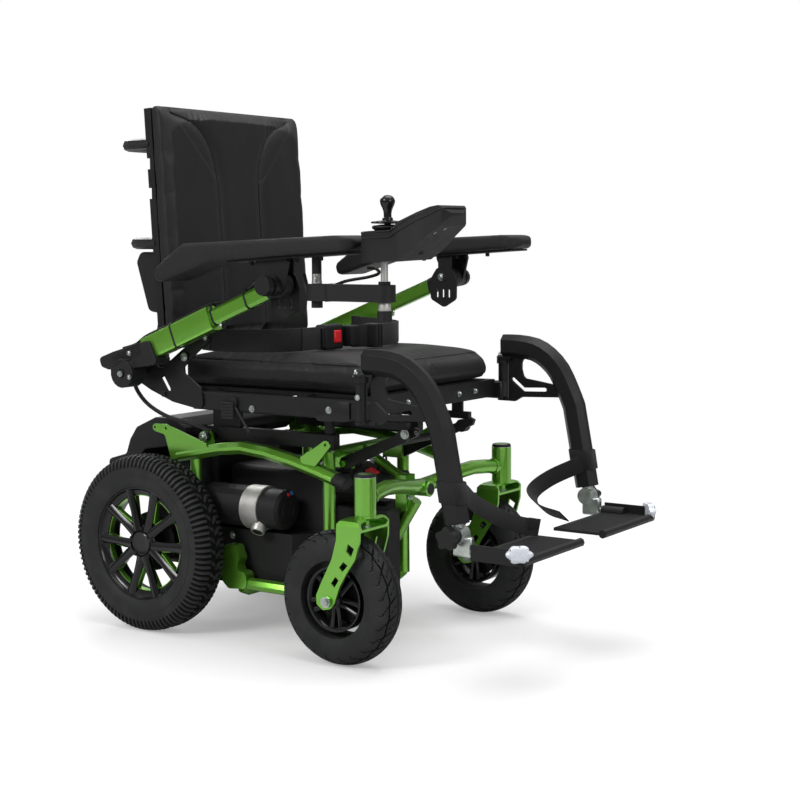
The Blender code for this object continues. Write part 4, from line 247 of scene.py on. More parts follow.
# %% Rubber and metals
tyre = Finish("tyre rubber", (0.011, 0.0113, 0.0120), 0.66, Specular_IOR_Level=0.24)
dust = tyre.patches(26.0, 8.0, 0.45, 0.80)
tyre.tint(dust * 0.6, (0.030, 0.030, 0.031))
tyre.set("Roughness", 0.55 + dust * 0.22)
tyre.grain(0.00018, 800.0)

# The lugs and blocks are a little lighter than the sidewall, a painted highlight on their raised faces; the
# paler patches on top are dust.
tread = Finish("tyre tread painted highlight", (0.017, 0.0174, 0.0186), 0.60, Specular_IOR_Level=0.30)
tread.tint(tread.patches(40.0, 6.0, 0.45, 0.80) * 0.5, (0.048, 0.048, 0.050))

sidewall = Finish("tyre sidewall", (0.015, 0.0153, 0.0162), 0.62, Specular_IOR_Level=0.26)
sidewall.tint(sidewall.patches(26.0, 8.0, 0.45, 0.80) * 0.6, (0.036, 0.036, 0.037))
sidewall.grain(0.00018, 800.0)

# Painted shade: the same rubber, darker and duller, for the bottoms of the grooves where shade falls.
groove = Finish("tyre groove painted shade", (0.0060, 0.0060, 0.0064), 0.85, Specular_IOR_Level=0.10)

rubber = Finish("soft black rubber", (0.009, 0.009, 0.0095), 0.50, Specular_IOR_Level=0.28)
rubber.gloss(0.40, 0.18, 120.0)
rubber.grain(0.00006, 1200.0)

zinc = Finish("zinc plate", (0.40, 0.43, 0.42), 0.26, 1.0)
bloom = zinc.noise(60.0, 6.0)
zinc.tint(zinc.ramp(bloom, 0.40, 0.70), (0.54, 0.60, 0.54))
zinc.set("Roughness", 0.22 + bloom * 0.26)
zinc.grain(0.00006, 600.0)

bare_metal = Finish("cast aluminium", (0.52, 0.51, 0.49), 0.45, 0.85)
bare_metal.gloss(0.36, 0.24, 300.0, 5.0)
bare_metal.tint(bare_metal.patches(35.0, 5.0, 0.4, 0.75), (0.42, 0.41, 0.39))
bare_metal.grain(0.00015, 900.0)
print("rubbers and metals are ready")

# %% [markdown]
# ## Upholstery and webbing
#
# The cushions wear a smooth black vinyl with a fine pebble, the arm pads a coarser skinned foam, and
# the belts a flat woven tape. The pebble is a Voronoi cell pattern under a softer noise. The tape's
# weave follows the strap, so it reads the strap's own UV map, in metres.

# %% Soft finishes
vinyl = Finish("black vinyl", (0.0085, 0.0085, 0.0090), 0.46, Specular_IOR_Level=0.25, Sheen_Weight=0.04)
vinyl.gloss(0.40, 0.18, 22.0, 5.0)
vinyl.tint(vinyl.patches(6.0, 3.0, 0.45, 0.8), (0.0115, 0.0115, 0.0120))
vinyl.bump(vinyl.cells(950.0, feature="SMOOTH_F1"), 0.00022)
vinyl.grain(0.0004, 60.0, 2.0)

pad_skin = Finish("skinned foam", (0.0085, 0.0085, 0.0090), 0.55, Specular_IOR_Level=0.27)
pad_skin.gloss(0.44, 0.24, 300.0)
pad_skin.tint(pad_skin.patches(420.0, 2.0, 0.5, 0.8), (0.017, 0.017, 0.0175))
pad_skin.bump(pad_skin.cells(620.0), 0.00045)

webbing = Finish("woven tape", (0.009, 0.009, 0.0095), 0.72, Specular_IOR_Level=0.2, Sheen_Weight=0.10)
STRAP_MAP = "strap"
THREAD = TURN / 0.0016
strap = webbing.node("ShaderNodeUVMap", {"uv_map": STRAP_MAP})
lengthwise = webbing.node("ShaderNodeSeparateXYZ", {}, {"Vector": strap})
crosswise = Value(webbing, lengthwise.socket.node.outputs["Y"])


def wave(value):
    return value.finish.node("ShaderNodeMath", {"operation": "SINE"}, {0: value})


weave = wave(lengthwise * THREAD + wave(crosswise * THREAD) * 1.3) * 0.5 + 0.5
webbing.bump(weave, 0.00028)
webbing.tint(weave * 0.6, (0.016, 0.016, 0.0165))
webbing.set("Roughness", 0.62 + weave * 0.2)
print("soft finishes are ready")

FINISHES = {
    "green_paint": green, "black_paint": black_paint, "black_plastic": black_plastic,
    "gloss_black": gloss_black, "tyre": tyre, "rubber": rubber, "upholstery": vinyl, "webbing": webbing,
    "zinc": zinc, "red_plastic": red_plastic, "grey_plastic": grey_plastic,
}
for node_name, part in NODES.items():
    part.data.materials.clear()
    part.data.materials.append(FINISHES[SLOT_OF[node_name]].material)
print("every solid wears its finish")

# %% [markdown]
# ## Floor and light
#
# The photograph was taken on a white sweep under large soft boxes. The world is white to the camera
# and in reflections, and dimmer as a light. Three soft lamps do the rest: a broad one overhead, a key
# from the front left of the picture and a weak one behind, so that black shows its edges.

# %% Stage
def make_world():
    """White to the camera; to every other ray a dim room that brightens towards its ceiling."""
    world = bpy.data.worlds.new("white room")
    world.use_nodes = True
    tree = world.node_tree
    path = tree.nodes.new("ShaderNodeLightPath")
    direction = tree.nodes.new("ShaderNodeTexCoord")
    parts = tree.nodes.new("ShaderNodeSeparateXYZ")
    tree.links.new(direction.outputs["Generated"], parts.inputs[0])
    room = tree.nodes.new("ShaderNodeMapRange")
    for label, value in (("From Min", -0.10), ("From Max", 0.85), ("To Min", WALL_LIGHT),
                         ("To Max", CEILING_LIGHT)):
        room.inputs[label].default_value = value
    tree.links.new(parts.outputs["Z"], room.inputs["Value"])
    seen = tree.nodes.new("ShaderNodeMath")
    seen.operation = "MAXIMUM"
    tree.links.new(path.outputs["Is Camera Ray"], seen.inputs[0])
    tree.links.new(path.outputs["Is Transmission Ray"], seen.inputs[1])
    strength = tree.nodes.new("ShaderNodeMapRange")
    strength.inputs["To Max"].default_value = 1.0
    tree.links.new(room.outputs["Result"], strength.inputs["To Min"])
    tree.links.new(seen.outputs[0], strength.inputs["Value"])
    background = tree.nodes["Background"]
    background.inputs["Color"].default_value = (1, 1, 1, 1)
    tree.links.new(strength.outputs["Result"], background.inputs["Strength"])
    bpy.context.scene.world = world


def make_floor():
    """A white floor that keeps the shadow; the camera sees it a little brighter, so that it ends in white."""
    mesh = bpy.data.meshes.new("floor")
    half = FLOOR_SIZE / 2
    mesh.from_pydata([(-half, -half, 0), (half, -half, 0), (half, half, 0), (-half, half, 0)], [],
                     [(0, 1, 2, 3)])
    floor = new_object("floor", mesh)
    paint = Finish("floor", (0.84, 0.84, 0.84), 0.65, Specular_IOR_Level=0.2, Emission_Color=(1, 1, 1, 1))
    path = paint.node("ShaderNodeLightPath", output="Is Camera Ray")
    gloss = paint.node("ShaderNodeLightPath", output="Is Glossy Ray")
    bounced, mirrored, seen = ((shade, shade, shade, 1.0) for shade in (0.30, 0.60, 0.86))
    paint.set("Base Color", paint.blend(path, paint.blend(gloss, bounced, mirrored), seen))
    away = paint.node("ShaderNodeVectorMath", {"operation": "LENGTH"}, {0: paint.place()}, output="Value")
    share = paint.ramp(away, FLOOR_EDGE[0], FLOOR_EDGE[1], FLOOR_GLOW, 1.0)
    glow = paint.node("ShaderNodeEmission", {}, {"Color": (1, 1, 1, 1), "Strength": 1.0})
    shaded = Value(paint, paint.shader.outputs[0])
    mixed = paint.node("ShaderNodeMixShader", {}, {0: path * share, 1: shaded, 2: glow})
    paint.set("Roughness", 0.60 + paint.noise(3.0) * 0.1)
    paint.plug(paint.tree.nodes["Material Output"].inputs["Surface"], mixed)
    mesh.materials.append(paint.material)


def soft_box(name, place, target, size, watts):
    data = bpy.data.lights.new(name, "AREA")
    data.shape, data.size, data.energy = "SQUARE", size, watts
    lamp = new_object(name, data)
    lamp.location = place
    lamp.rotation_euler = (Vector(target) - Vector(place)).to_track_quat("-Z", "Y").to_euler()
    print(name, watts, "W")


WALL_LIGHT, CEILING_LIGHT = 0.10, 0.80
FLOOR_SIZE, FLOOR_GLOW = 14.0, 0.30
FLOOR_EDGE = (0.9, 2.3)
make_world()
make_floor()
bpy.context.scene.view_settings.view_transform = "Standard"
soft_box("overhead box", (0.2, -0.4, 3.2), (0, 0, 0.4), 2.4, 72)
soft_box("key box", (-3.0, 0.8, 2.3), (0, 0, 0.5), 1.0, 60)
soft_box("rear box", (1.6, 2.6, 2.2), (0, 0, 0.6), 1.2, 30)
soft_box("front box", (-0.9, -3.2, 1.6), (0, 0, 0.5), 1.2, 26)

# %% [markdown]
# ## Tools for shapes
#
# Every piece is built in place, in metres, and its object stays at the origin. `finished` closes a
# mesh's work: doubles merged, normals outwards, smooth faces with sharp edges where the angle asks for
# them. `keep` fastens a piece to its body and hides the solids that it stands for.


# %% Mesh helpers
WELD = 0.00002
UP = Vector((0, 0, 1))
AXES = {"X": Matrix.Identity(3), "Y": Matrix.Rotation(math.pi / 2, 3, "Z"),
        "Z": Matrix.Rotation(-math.pi / 2, 3, "Y")}


def finished(name, bm, finish, angle=40, outward=True):
    bmesh.ops.remove_doubles(bm, verts=bm.verts, dist=WELD)
    if outward:
        bmesh.ops.recalc_face_normals(bm, faces=bm.faces)
    mesh = bpy.data.meshes.new(name)
    bm.to_mesh(mesh)
    bm.free()
    mesh.materials.append(finish.material)
    mesh.polygons.foreach_set("use_smooth", [True] * len(mesh.polygons))
    mesh.set_sharp_from_angle(angle=math.radians(angle))
    return new_object(name, mesh)


def keep(piece, body, slot=None, *nodes):
    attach(piece, body)
    if nodes:
        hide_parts(*nodes)
    return piece


def baked(piece):
    """The modifiers' result becomes the piece's plain mesh."""
    bpy.context.view_layer.update()
    graph = bpy.context.evaluated_depsgraph_get()
    mesh = bpy.data.meshes.new_from_object(
        piece.evaluated_get(graph), preserve_all_data_layers=True, depsgraph=graph)
    piece.modifiers.clear()
    piece.data = mesh
    return piece


def polar(radius, angle):
    return radius * math.cos(angle), radius * math.sin(angle)


def join_rings(bm, low, high):
    """The faces between two rings of vertices; a ring of one vertex is a point."""
    faces, count = [], max(len(low), len(high))
    for k in range(count):
        nxt = (k + 1) % count
        if len(low) == 1:
            corners = (low[0], high[nxt], high[k])
        elif len(high) == 1:
            corners = (low[k], low[nxt], high[0])
        else:
            corners = (low[k], low[nxt], high[nxt], high[k])
        faces.append(bm.faces.new(corners))
    return faces


def loft(bm, rows, caps=True, closed=False):
    """Joins each ring of vertices to the next one; closed joins the last to the first as well."""
    faces = []
    for low, high in zip(rows, rows[1:] + (rows[:1] if closed else [])):
        faces += join_rings(bm, low, high)
    if caps and not closed:
        bm.faces.new(rows[0])
        bm.faces.new(rows[-1])
    return faces


def lathe(bm, profile, centre, axis="X", segments=48, closed=False):
    """Turns (along, radius) points round an axis through the centre; a radius of 0 closes the end."""
    rings = []
    for along, radius in profile:
        count = segments if radius > 1e-6 else 1
        around = [Vector((along, *polar(radius, TURN * k / count))) for k in range(count)]
        rings.append([bm.verts.new(Vector(centre) + AXES[axis] @ point) for point in around])
    loft(bm, rings, False, closed)


def block(bm, low, high):
    (x0, y0, z0), (x1, y1, z1) = low, high
    corners = [bm.verts.new((x, y, z)) for x in (x0, x1) for y in (y0, y1) for z in (z0, z1)]
    for face in ((0, 1, 3, 2), (4, 6, 7, 5), (0, 4, 5, 1), (2, 3, 7, 6), (0, 2, 6, 4), (1, 5, 7, 3)):
        bm.faces.new([corners[i] for i in face])


def smooth_line(points, steps):
    """A smooth curve read through the points, as the frame's own routes are."""
    line = [Vector(point) for point in points]
    ends = [2 * line[0] - line[1], *line, 2 * line[-1] - line[-2]]
    result = []
    for a, b, c, d in zip(ends, ends[1:], ends[2:], ends[3:]):
        for k in range(steps):
            t = k / steps
            square, cube = (2 * a - 5 * b + 4 * c - d), (3 * b - a - 3 * c + d)
            result.append(((2 * b) + (c - a) * t + square * t**2 + cube * t**3) / 2)
    return [*result, line[-1]]


def frames(points, up=UP):
    """At each point: the point, sideways and up, turning as little as possible."""
    result, side = [], None
    for i, point in enumerate(points):
        along = (points[min(i + 1, len(points) - 1)] - points[max(i - 1, 0)]).normalized()
        if side is None:
            side = along.cross(up if abs(along.dot(up)) < 0.95 else Vector((1, 0, 0))).normalized()
        side = (side - along * side.dot(along)).normalized()
        result.append((point, side, side.cross(along)))
    return result


def carried(bm, placed, section):
    """The (sideways, up) points of a section as a ring of vertices at each place that frames gave."""
    return [[bm.verts.new(point + side * x + top * z) for x, z in section] for point, side, top in placed]


def running_length(points):
    lengths = [0.0]
    for a, b in zip(points, points[1:]):
        lengths.append(lengths[-1] + (b - a).length)
    return lengths


def sweep(bm, points, section, up=UP, uv_name=None):
    """Carries a section along a line; with uv_name the faces know how far along and how far across."""
    layer = bm.loops.layers.uv.new(uv_name) if uv_name else None
    faces = loft(bm, carried(bm, frames(points, up), section))
    if not uv_name:
        return
    along = running_length(points)
    across = running_length([Vector(p) for p in (*section, section[0])])
    for number, face in enumerate(faces):
        i, k = divmod(number, len(section))
        corners = ((along[i], across[k]), (along[i], across[k + 1]),
                   (along[i + 1], across[k + 1]), (along[i + 1], across[k]))
        for loop, corner in zip(face.loops, corners):
            loop[layer].uv = corner


def circle_section(radius, sides):
    return [polar(radius, TURN * k / sides) for k in range(sides)]


def soft_rectangle(width, height, corner, steps):
    points = []
    for sx, sz, start in ((1, 1, 0), (-1, 1, 90), (-1, -1, 180), (1, -1, 270)):
        for k in range(steps + 1):
            x, z = polar(corner, math.radians(start + 90 * k / steps))
            points.append((sx * (width / 2 - corner) + x, sz * (height / 2 - corner) + z))
    return points


# %% [markdown]
# ## Dressed solids
#
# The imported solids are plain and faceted, which is right for physics. Up close a real edge is never
# knife sharp: it carries a thin bright line. So each rigid solid gets a welded copy whose flat faces
# are merged, whose sharp edges are rounded by a small bevel, and whose round faces shade smoothly.

# %% Dress a solid
JOYSTICK_X = -0.294


def welded(node):
    """A solid with its flat faces whole; edges of nearly no length go, so that no bevel folds over them."""
    bm = bmesh.new()
    bm.from_mesh(NODES[node].data)
    bmesh.ops.remove_doubles(bm, verts=bm.verts, dist=WELD)
    bmesh.ops.dissolve_degenerate(bm, dist=0.00005, edges=bm.edges)
    bmesh.ops.dissolve_limit(bm, angle_limit=math.radians(0.5), verts=bm.verts, edges=bm.edges)
    return bm


def rounded_nose(bm):
    """The joystick box's panel bends a little further forward, and its two front corners are turned."""
    for v in bm.verts:
        if abs(v.co.y + 0.300) < 0.004 and v.co.z > 0.815:
            v.co.y -= 0.015

    def is_corner(edge):
        a, b = edge.verts[0].co, edge.verts[1].co
        upright = abs((a - b).normalized().z) > 0.7
        aside = min(abs(a.x - JOYSTICK_X), abs(b.x - JOYSTICK_X))
        return upright and max(a.y, b.y) < -0.395 and aside > 0.028

    edges = [edge for edge in bm.edges if is_corner(edge)]
    bmesh.ops.bevel(bm, geom=edges, offset=0.017, segments=6, profile=0.5, affect="EDGES", clamp_overlap=True)


def dress(node, edge):
    shape = welded(node)
    if node == "joystick_box":
        rounded_nose(shape)
    piece = finished(node + "_skin", shape, FINISHES[SLOT_OF[node]], DRESS_ANGLE)
    bevel = piece.modifiers.new("rounded edges", "BEVEL")
    bevel.width, bevel.segments, bevel.limit_method = edge, 2, "ANGLE"
    bevel.angle_limit = math.radians(DRESS_ANGLE)
    bevel.use_clamp_overlap = True
    weighted = piece.modifiers.new("even shading", "WEIGHTED_NORMAL")
    weighted.keep_sharp = True
    return keep(baked(piece), BODY_OF[node], SLOT_OF[node], node)


DRESS_ANGLE = 38


EDGES = {
    "base_frame": 0.0010, "front_axle": 0.0008, "battery_box": 0.0030, "rear_cover": 0.0040,
    "seat_frame": 0.0012, "tilt_lever": 0.0012, "back_frame": 0.0012, "back_cover": 0.0040,
    "joystick_link": 0.0016, "joystick_box": 0.0040, "freewheel_lever": 0.0010, "seat_lever": 0.0008,
    "buckle_button": 0.0006,
}
PAIRED_EDGES = {
    "arch_beam": 0.0014, "caster_fork": 0.0010, "motor": 0.0020, "side_plate": 0.0008, "arm_tube": 0.0016,
    "arm_cap": 0.0020, "pad_bracket": 0.0008, "hanger": 0.0014, "foot_tube": 0.0008, "footplate": 0.0008,
    "star_knob": 0.0020,
}
for word, _ in SIDES:
    for stem, width in PAIRED_EDGES.items():
        EDGES[f"{stem}_{word}"] = width
for node_name, width in EDGES.items():
    dress(node_name, width)
print(len(EDGES), "solids dressed")

# %% [markdown]
# ## Patterns from Geometry Nodes
#
# A tyre's tread, a wheel's bolts, a zip of ribs: each is one small shape set out many times. Every
# pattern here is a short node tree, built in the script: points on a ring, in a row or on given places,
# an instance on each, made real and then kept as one plain mesh.


# %% Pattern tools
def add(tree, kind, values=None, **settings):
    made = tree.nodes.new(kind)
    for key, value in settings.items():
        setattr(made, key, value)
    for key, value in (values or {}).items():
        if isinstance(value, bpy.types.NodeSocket):
            tree.links.new(value, made.inputs[key])
        else:
            made.inputs[key].default_value = value
    return made


def copies_tree(name, lay_out, *inputs):
    """A copy of Shape on each point that lay_out gives, turned as it says, and all made into one mesh."""
    tree = bpy.data.node_groups.new(name, "GeometryNodeTree")
    for label, kind in (("Geometry", "Geometry"), ("Shape", "Object"), *inputs, ("Material", "Material")):
        tree.interface.new_socket(label, in_out="INPUT", socket_type="NodeSocket" + kind)
    tree.interface.new_socket("Geometry", in_out="OUTPUT", socket_type="NodeSocketGeometry")
    given = add(tree, "NodeGroupInput").outputs
    shape = add(tree, "GeometryNodeObjectInfo", {"Object": given["Shape"]})
    values = {"Instance": shape.outputs["Geometry"], **lay_out(tree, given)}
    copies = add(tree, "GeometryNodeInstanceOnPoints", values)
    real = add(tree, "GeometryNodeRealizeInstances", {"Geometry": copies.outputs[0]})
    coloured = add(tree, "GeometryNodeSetMaterial", {
        "Geometry": real.outputs["Geometry"], "Material": given["Material"]})
    add(tree, "NodeGroupOutput", {"Geometry": coloured.outputs["Geometry"]})
    return tree


def ring_points(tree, given):
    """Count points at the Centre, each turned on from the last round the X axis, from the Start angle."""
    points = add(tree, "GeometryNodePoints", {"Count": given["Count"], "Position": given["Centre"]})
    index = add(tree, "GeometryNodeInputIndex")
    share = add(tree, "ShaderNodeMath", {0: index.outputs[0], 1: given["Count"]}, operation="DIVIDE")
    angle = add(tree, "ShaderNodeMath", {0: share.outputs[0], 1: TURN, 2: given["Start"]},
                operation="MULTIPLY_ADD")
    turn = add(tree, "FunctionNodeAxisAngleToRotation", {"Axis": (1, 0, 0), "Angle": angle.outputs[0]})
    return {"Points": points.outputs[0], "Rotation": turn.outputs[0]}


def row_points(tree, given):
    """Count points in a straight row, each a Step from the last."""
    index = add(tree, "GeometryNodeInputIndex")
    along = add(tree, "ShaderNodeVectorMath", {0: given["Step"], "Scale": index.outputs[0]},
                operation="SCALE")
    place = add(tree, "ShaderNodeVectorMath", {0: along.outputs[0], 1: given["First"]}, operation="ADD")
    points = add(tree, "GeometryNodePoints", {"Count": given["Count"], "Position": place.outputs[0]})
    return {"Points": points.outputs[0]}


def stud_points(tree, given):
    """A point on each vertex of the carrier, its own Z turned to face along the vertex's 'facing'."""
    facing = add(tree, "GeometryNodeInputNamedAttribute", {"Name": "facing"}, data_type="FLOAT_VECTOR")
    turn = add(tree, "FunctionNodeAlignRotationToVector", {"Vector": facing.outputs["Attribute"]}, axis="Z")
    points = add(tree, "GeometryNodeMeshToPoints", {"Mesh": given["Geometry"]})
    return {"Points": points.outputs[0], "Rotation": turn.outputs[0]}


RING = copies_tree("ring of copies", ring_points, ("Count", "Int"), ("Start", "Float"), ("Centre", "Vector"))
ROW = copies_tree("row of copies", row_points, ("Count", "Int"), ("First", "Vector"), ("Step", "Vector"))
STUDS = copies_tree("studs on places", stud_points)


def pattern(name, tree, shape, finish, places=(), **values):
    """Runs a tree once and keeps its result as a plain piece; places are (point, facing) pairs for studs."""
    mesh = bpy.data.meshes.new(name)
    mesh.from_pydata([point for point, _ in places] or [(0, 0, 0)], [], [])
    if places:
        facing = mesh.attributes.new("facing", "FLOAT_VECTOR", "POINT")
        for target, (_, direction) in zip(facing.data, places):
            target.vector = direction
    piece = new_object(name, mesh)
    modifier = piece.modifiers.new("pattern", "NODES")
    modifier.node_group = tree
    values.update(Shape=shape, Material=finish.material)
    for item in tree.interface.items_tree:
        if item.in_out == "INPUT" and item.name in values:
            modifier[item.identifier] = values[item.name]
    baked(piece)
    bpy.data.objects.remove(shape)
    return piece


def stud(name, profile, segments):
    """A small turned shape on +Z, from (height, radius) points: a bolt head, a washer, a screw."""
    bm = bmesh.new()
    lathe(bm, profile, (0, 0, 0), "Z", segments)
    return finished(name, bm, zinc, 30)


print("three node trees")

# %% [markdown]
# ## Drive wheels
#
# The tyre has about a hundred narrow lugs round each shoulder that fade into a smooth sidewall, and
# two rows of slanted blocks on its crown. The rim is gloss black: a deep lip, ten spokes that meet the
# hub in pairs, and green liners in the openings between them. A dark flange lies behind the spokes,
# round the hub.


# %% Drive tyres
def tread_block(x, length, width, depth, skew):
    """One block on the crown, at the top of the wheel, before it is set round the axle."""
    bm = bmesh.new()
    for sx, sy in ((-1, -1), (1, -1), (1, 1), (-1, 1)):
        for z, shrink in ((LUG_RADIUS - depth, 1.0), (LUG_RADIUS, 0.84)):
            px = sx * length / 2 * shrink
            bm.verts.new((x + px, sy * width / 2 * shrink + px * skew, z))
    bm.verts.ensure_lookup_table()
    v = bm.verts
    for face in ((0, 2, 4, 6), (1, 3, 5, 7), (0, 1, 3, 2), (2, 3, 5, 4), (4, 5, 7, 6), (6, 7, 1, 0)):
        bm.faces.new([v[i] for i in face])
    return finished("block", bm, tyre, 35)


def drive_carcass(centre):
    """The carcass; under the lugs, past a radius, the bottoms of the grooves wear a painted shade."""
    bm = bmesh.new()
    lathe(bm, DRIVE_CARCASS, centre, "X", WHEEL_SEGMENTS, closed=True)
    piece = finished("carcass", bm, sidewall, 30)
    piece.data.materials.append(groove.material)
    for face in piece.data.polygons:
        p = face.center - centre
        face.material_index = int(math.hypot(p.y, p.z) > GROOVE_FROM)
    return piece


def merge(name, pieces):
    """Several plain pieces with one finish become one mesh."""
    bm = bmesh.new()
    materials = []
    for piece in pieces:
        start = len(bm.faces)
        bm.from_mesh(piece.data)
        bm.faces.ensure_lookup_table()
        slots = []
        for material in piece.data.materials:
            if material not in materials:
                materials.append(material)
            slots.append(materials.index(material))
        for face in bm.faces[start:]:
            face.material_index = slots[min(face.material_index, len(slots) - 1)]
    mesh = bpy.data.meshes.new(name)
    bm.to_mesh(mesh)
    bm.free()
    for material in materials:
        mesh.materials.append(material)
    for piece in pieces:
        bpy.data.objects.remove(piece)
    return new_object(name, mesh)


DRIVE_CENTRE = {word: Vector((side * 0.2406, 0.368, 0.183)) for word, side in SIDES}
DRIVE_LUGS, LUG_RADIUS, GROOVE_FROM = 96, 0.1828, 0.1600
WHEEL_SEGMENTS = 96
DRIVE_CARCASS = (
    (-0.0280, 0.1168), (-0.0310, 0.1176), (-0.0352, 0.1240), (-0.0378, 0.1340), (-0.0384, 0.1440),
    (-0.0378, 0.1442), (-0.0380, 0.1500), (-0.0368, 0.1600), (-0.0335, 0.1700), (-0.0270, 0.1762),
    (-0.0140, 0.1792), (0.0, 0.1798), (0.0140, 0.1792), (0.0270, 0.1762), (0.0335, 0.1700), (0.0368, 0.1600),
    (0.0380, 0.1500), (0.0378, 0.1442), (0.0384, 0.1440), (0.0378, 0.1340), (0.0352, 0.1240),
    (0.0310, 0.1176), (0.0280, 0.1168), (0.0, 0.1168),
)


def shoulder_lug(end):
    """A narrow lug that runs from the crown down over the shoulder and fades into the sidewall."""
    bm = bmesh.new()
    path = ((0.0150, LUG_RADIUS, 0.0030), (0.0262, 0.1800, 0.0032), (0.0330, 0.1742, 0.0031),
            (0.0368, 0.1660, 0.0028), (0.0380, 0.1620, 0.0022), (0.0384, 0.1580, 0.0012))
    rows = []
    for x, radius, half in path:
        inner = Vector((x * 0.90, 0, radius - 0.0050))
        outer = Vector((x, 0, radius))
        rows.append([bm.verts.new(Vector((end * p.x, y, p.z))) for p, y in (
            (inner, -half * 1.15), (outer, -half * 0.80), (outer, half * 0.80), (inner, half * 1.15))])
    loft(bm, rows)
    return finished("lug", bm, tread, 50)


for word, side in SIDES:
    centre = DRIVE_CENTRE[word]
    parts = [drive_carcass(centre)]
    for end in (-1, 1):
        crown_block = tread_block(end * 0.0074, 0.0110, 0.0086, 0.0040, end * 0.75)
        parts += [pattern("lugs", RING, shoulder_lug(end), tread, Count=DRIVE_LUGS, Start=0.02 * end,
                          Centre=centre),
                  pattern("blocks", RING, crown_block, tread, Count=DRIVE_LUGS // 2, Start=0.03 + 0.02 * end,
                          Centre=centre)]
    keep(merge(f"drive_tyre_{word}_skin", parts), f"drive_wheel_{word}", "tyre", f"drive_tyre_{word}")


# %% Drive rims
def outward(angle):
    """The direction from an axle at an angle, in the wheel's own plane."""
    return Vector((0, *polar(1.0, angle)))


def spoke_bar(bm, centre, side, hub_angle, rim_angle, inner, outer, face, width, ridge, back=0.012):
    """One ridged spoke: a crest along its middle and sides that fall away, wider where it meets the lip."""
    start, end = outward(hub_angle) * inner, outward(rim_angle) * outer
    across = Vector((1, 0, 0)).cross(end - start).normalized()
    rows = []
    for t in (0.0, 0.18, 0.5, 0.82, 1.0):
        middle = start.lerp(end, t)
        half = width / 2 * (1.05 - 0.25 * math.sin(math.pi * min(1.0, t * 1.05)))
        top = face - 0.0018 * math.sin(math.pi * t)
        section = ((top - back, -0.85), (top - ridge, -1.0), (top - 0.0004, -0.34), (top, 0.0),
                   (top - 0.0004, 0.34), (top - ridge, 1.0), (top - back, 0.85))
        rows.append([bm.verts.new(centre + middle + Vector((side * x, 0, 0)) + across * (w * half))
                     for x, w in section])
    loft(bm, rows)


RIM_LIP = (
    (-0.0265, 0.1160), (-0.0265, 0.1110), (-0.0240, 0.1070), (-0.0180, 0.1030), (0.0060, 0.1020),
    (0.0150, 0.1000), (0.0172, 0.1012), (0.0186, 0.1050), (0.0206, 0.1100), (0.0236, 0.1128),
    (0.0276, 0.1146), (0.0284, 0.1162), (0.0278, 0.1180), (0.0262, 0.1162),
)
SPOKE_PAIRS = 5
PAIR_START = math.radians(54)


def disc_ring(bm, centre, side, points, angle_low, angle_high, steps):
    """Part of a turned ring between two angles, closed at its ends."""
    angles = [angle_low + (angle_high - angle_low) * k / steps for k in range(steps + 1)]
    loft(bm, [[bm.verts.new(centre + Vector((side * x, *polar(r, a)))) for x, r in points] for a in angles])


HUB = ((-0.0212, 0.0), (-0.0212, 0.0360), (0.0130, 0.0360), (0.0190, 0.0352), (0.0215, 0.0335),
       (0.0226, 0.0262),
       (0.0236, 0.0252), (0.0262, 0.0240), (0.0272, 0.0222), (0.0264, 0.0196), (0.0266, 0.0090),
       (0.0268, 0.0))
RIM_FLANGE = ((-0.0100, 0.0340), (-0.0100, 0.0560), (-0.0130, 0.0600), (-0.0100, 0.0615), (-0.0060, 0.0570),
              (-0.0060, 0.0340))
LINER_SECTION = ((0.0030, 0.0984), (0.0030, 0.1008), (0.0150, 0.1008), (0.0150, 0.0984))
LINER_OUTER, BOLT_CIRCLE = 0.0985, 0.0302
# The opening inside a pair, then the one between pairs: place, half angles at hub and lip, hub radius.
WINDOWS = ((0.0, 0.05, 0.232, 0.052), (0.5, 0.40, 0.235, 0.042))
HUB_BOLT = ((-0.002, 0.0), (-0.002, 0.0036), (0.0022, 0.0036), (0.0030, 0.0029), (0.0030, 0.0018),
            (0.0012, 0.0016), (0.0012, 0.0))


def mirrored(profile, side):
    return [(side * x, r) for x, r in profile]


def drive_rim(centre, side):
    """The deep lip with ten ridged spokes, and the hub."""
    bm = bmesh.new()
    lathe(bm, mirrored(RIM_LIP, side), centre, "X", WHEEL_SEGMENTS, closed=True)
    for pair in range(SPOKE_PAIRS):
        middle = PAIR_START + pair * 2 * math.pi / SPOKE_PAIRS
        for turn in (-1, 1):
            spoke_bar(bm, centre, side, middle + turn * 0.17, middle + turn * math.radians(18),
                      0.028, 0.1140, 0.0262, 0.0215, 0.0050)
    rim = finished("rim", bm, gloss_black, 34)
    bm = bmesh.new()
    lathe(bm, mirrored(HUB, side), centre, "X", 48)
    return [rim, finished("hub", bm, gloss_black, 30)]


def rim_liners(name, centre, side):
    """Green liners edge the openings on both sides of each spoke, a little behind the spokes' crests."""
    bm = bmesh.new()
    for pair in range(SPOKE_PAIRS):
        for share, narrow, wide, inner in WINDOWS:
            middle = PAIR_START + (pair + share) * 2 * math.pi / SPOKE_PAIRS
            for turn in (-1, 1):
                start = outward(middle + turn * narrow) * inner
                end = outward(middle + turn * wide) * LINER_OUTER
                line = [centre + p + Vector((side * 0.0105, 0, 0)) for p in (start, start.lerp(end, 0.5),
                        end)]
                sweep(bm, line, soft_rectangle(0.0034, 0.0130, 0.0010, 1), Vector((1, 0, 0)))
            disc_ring(bm, centre, side, LINER_SECTION, middle - wide, middle + wide, 10)
    return finished(name, bm, green, 40)


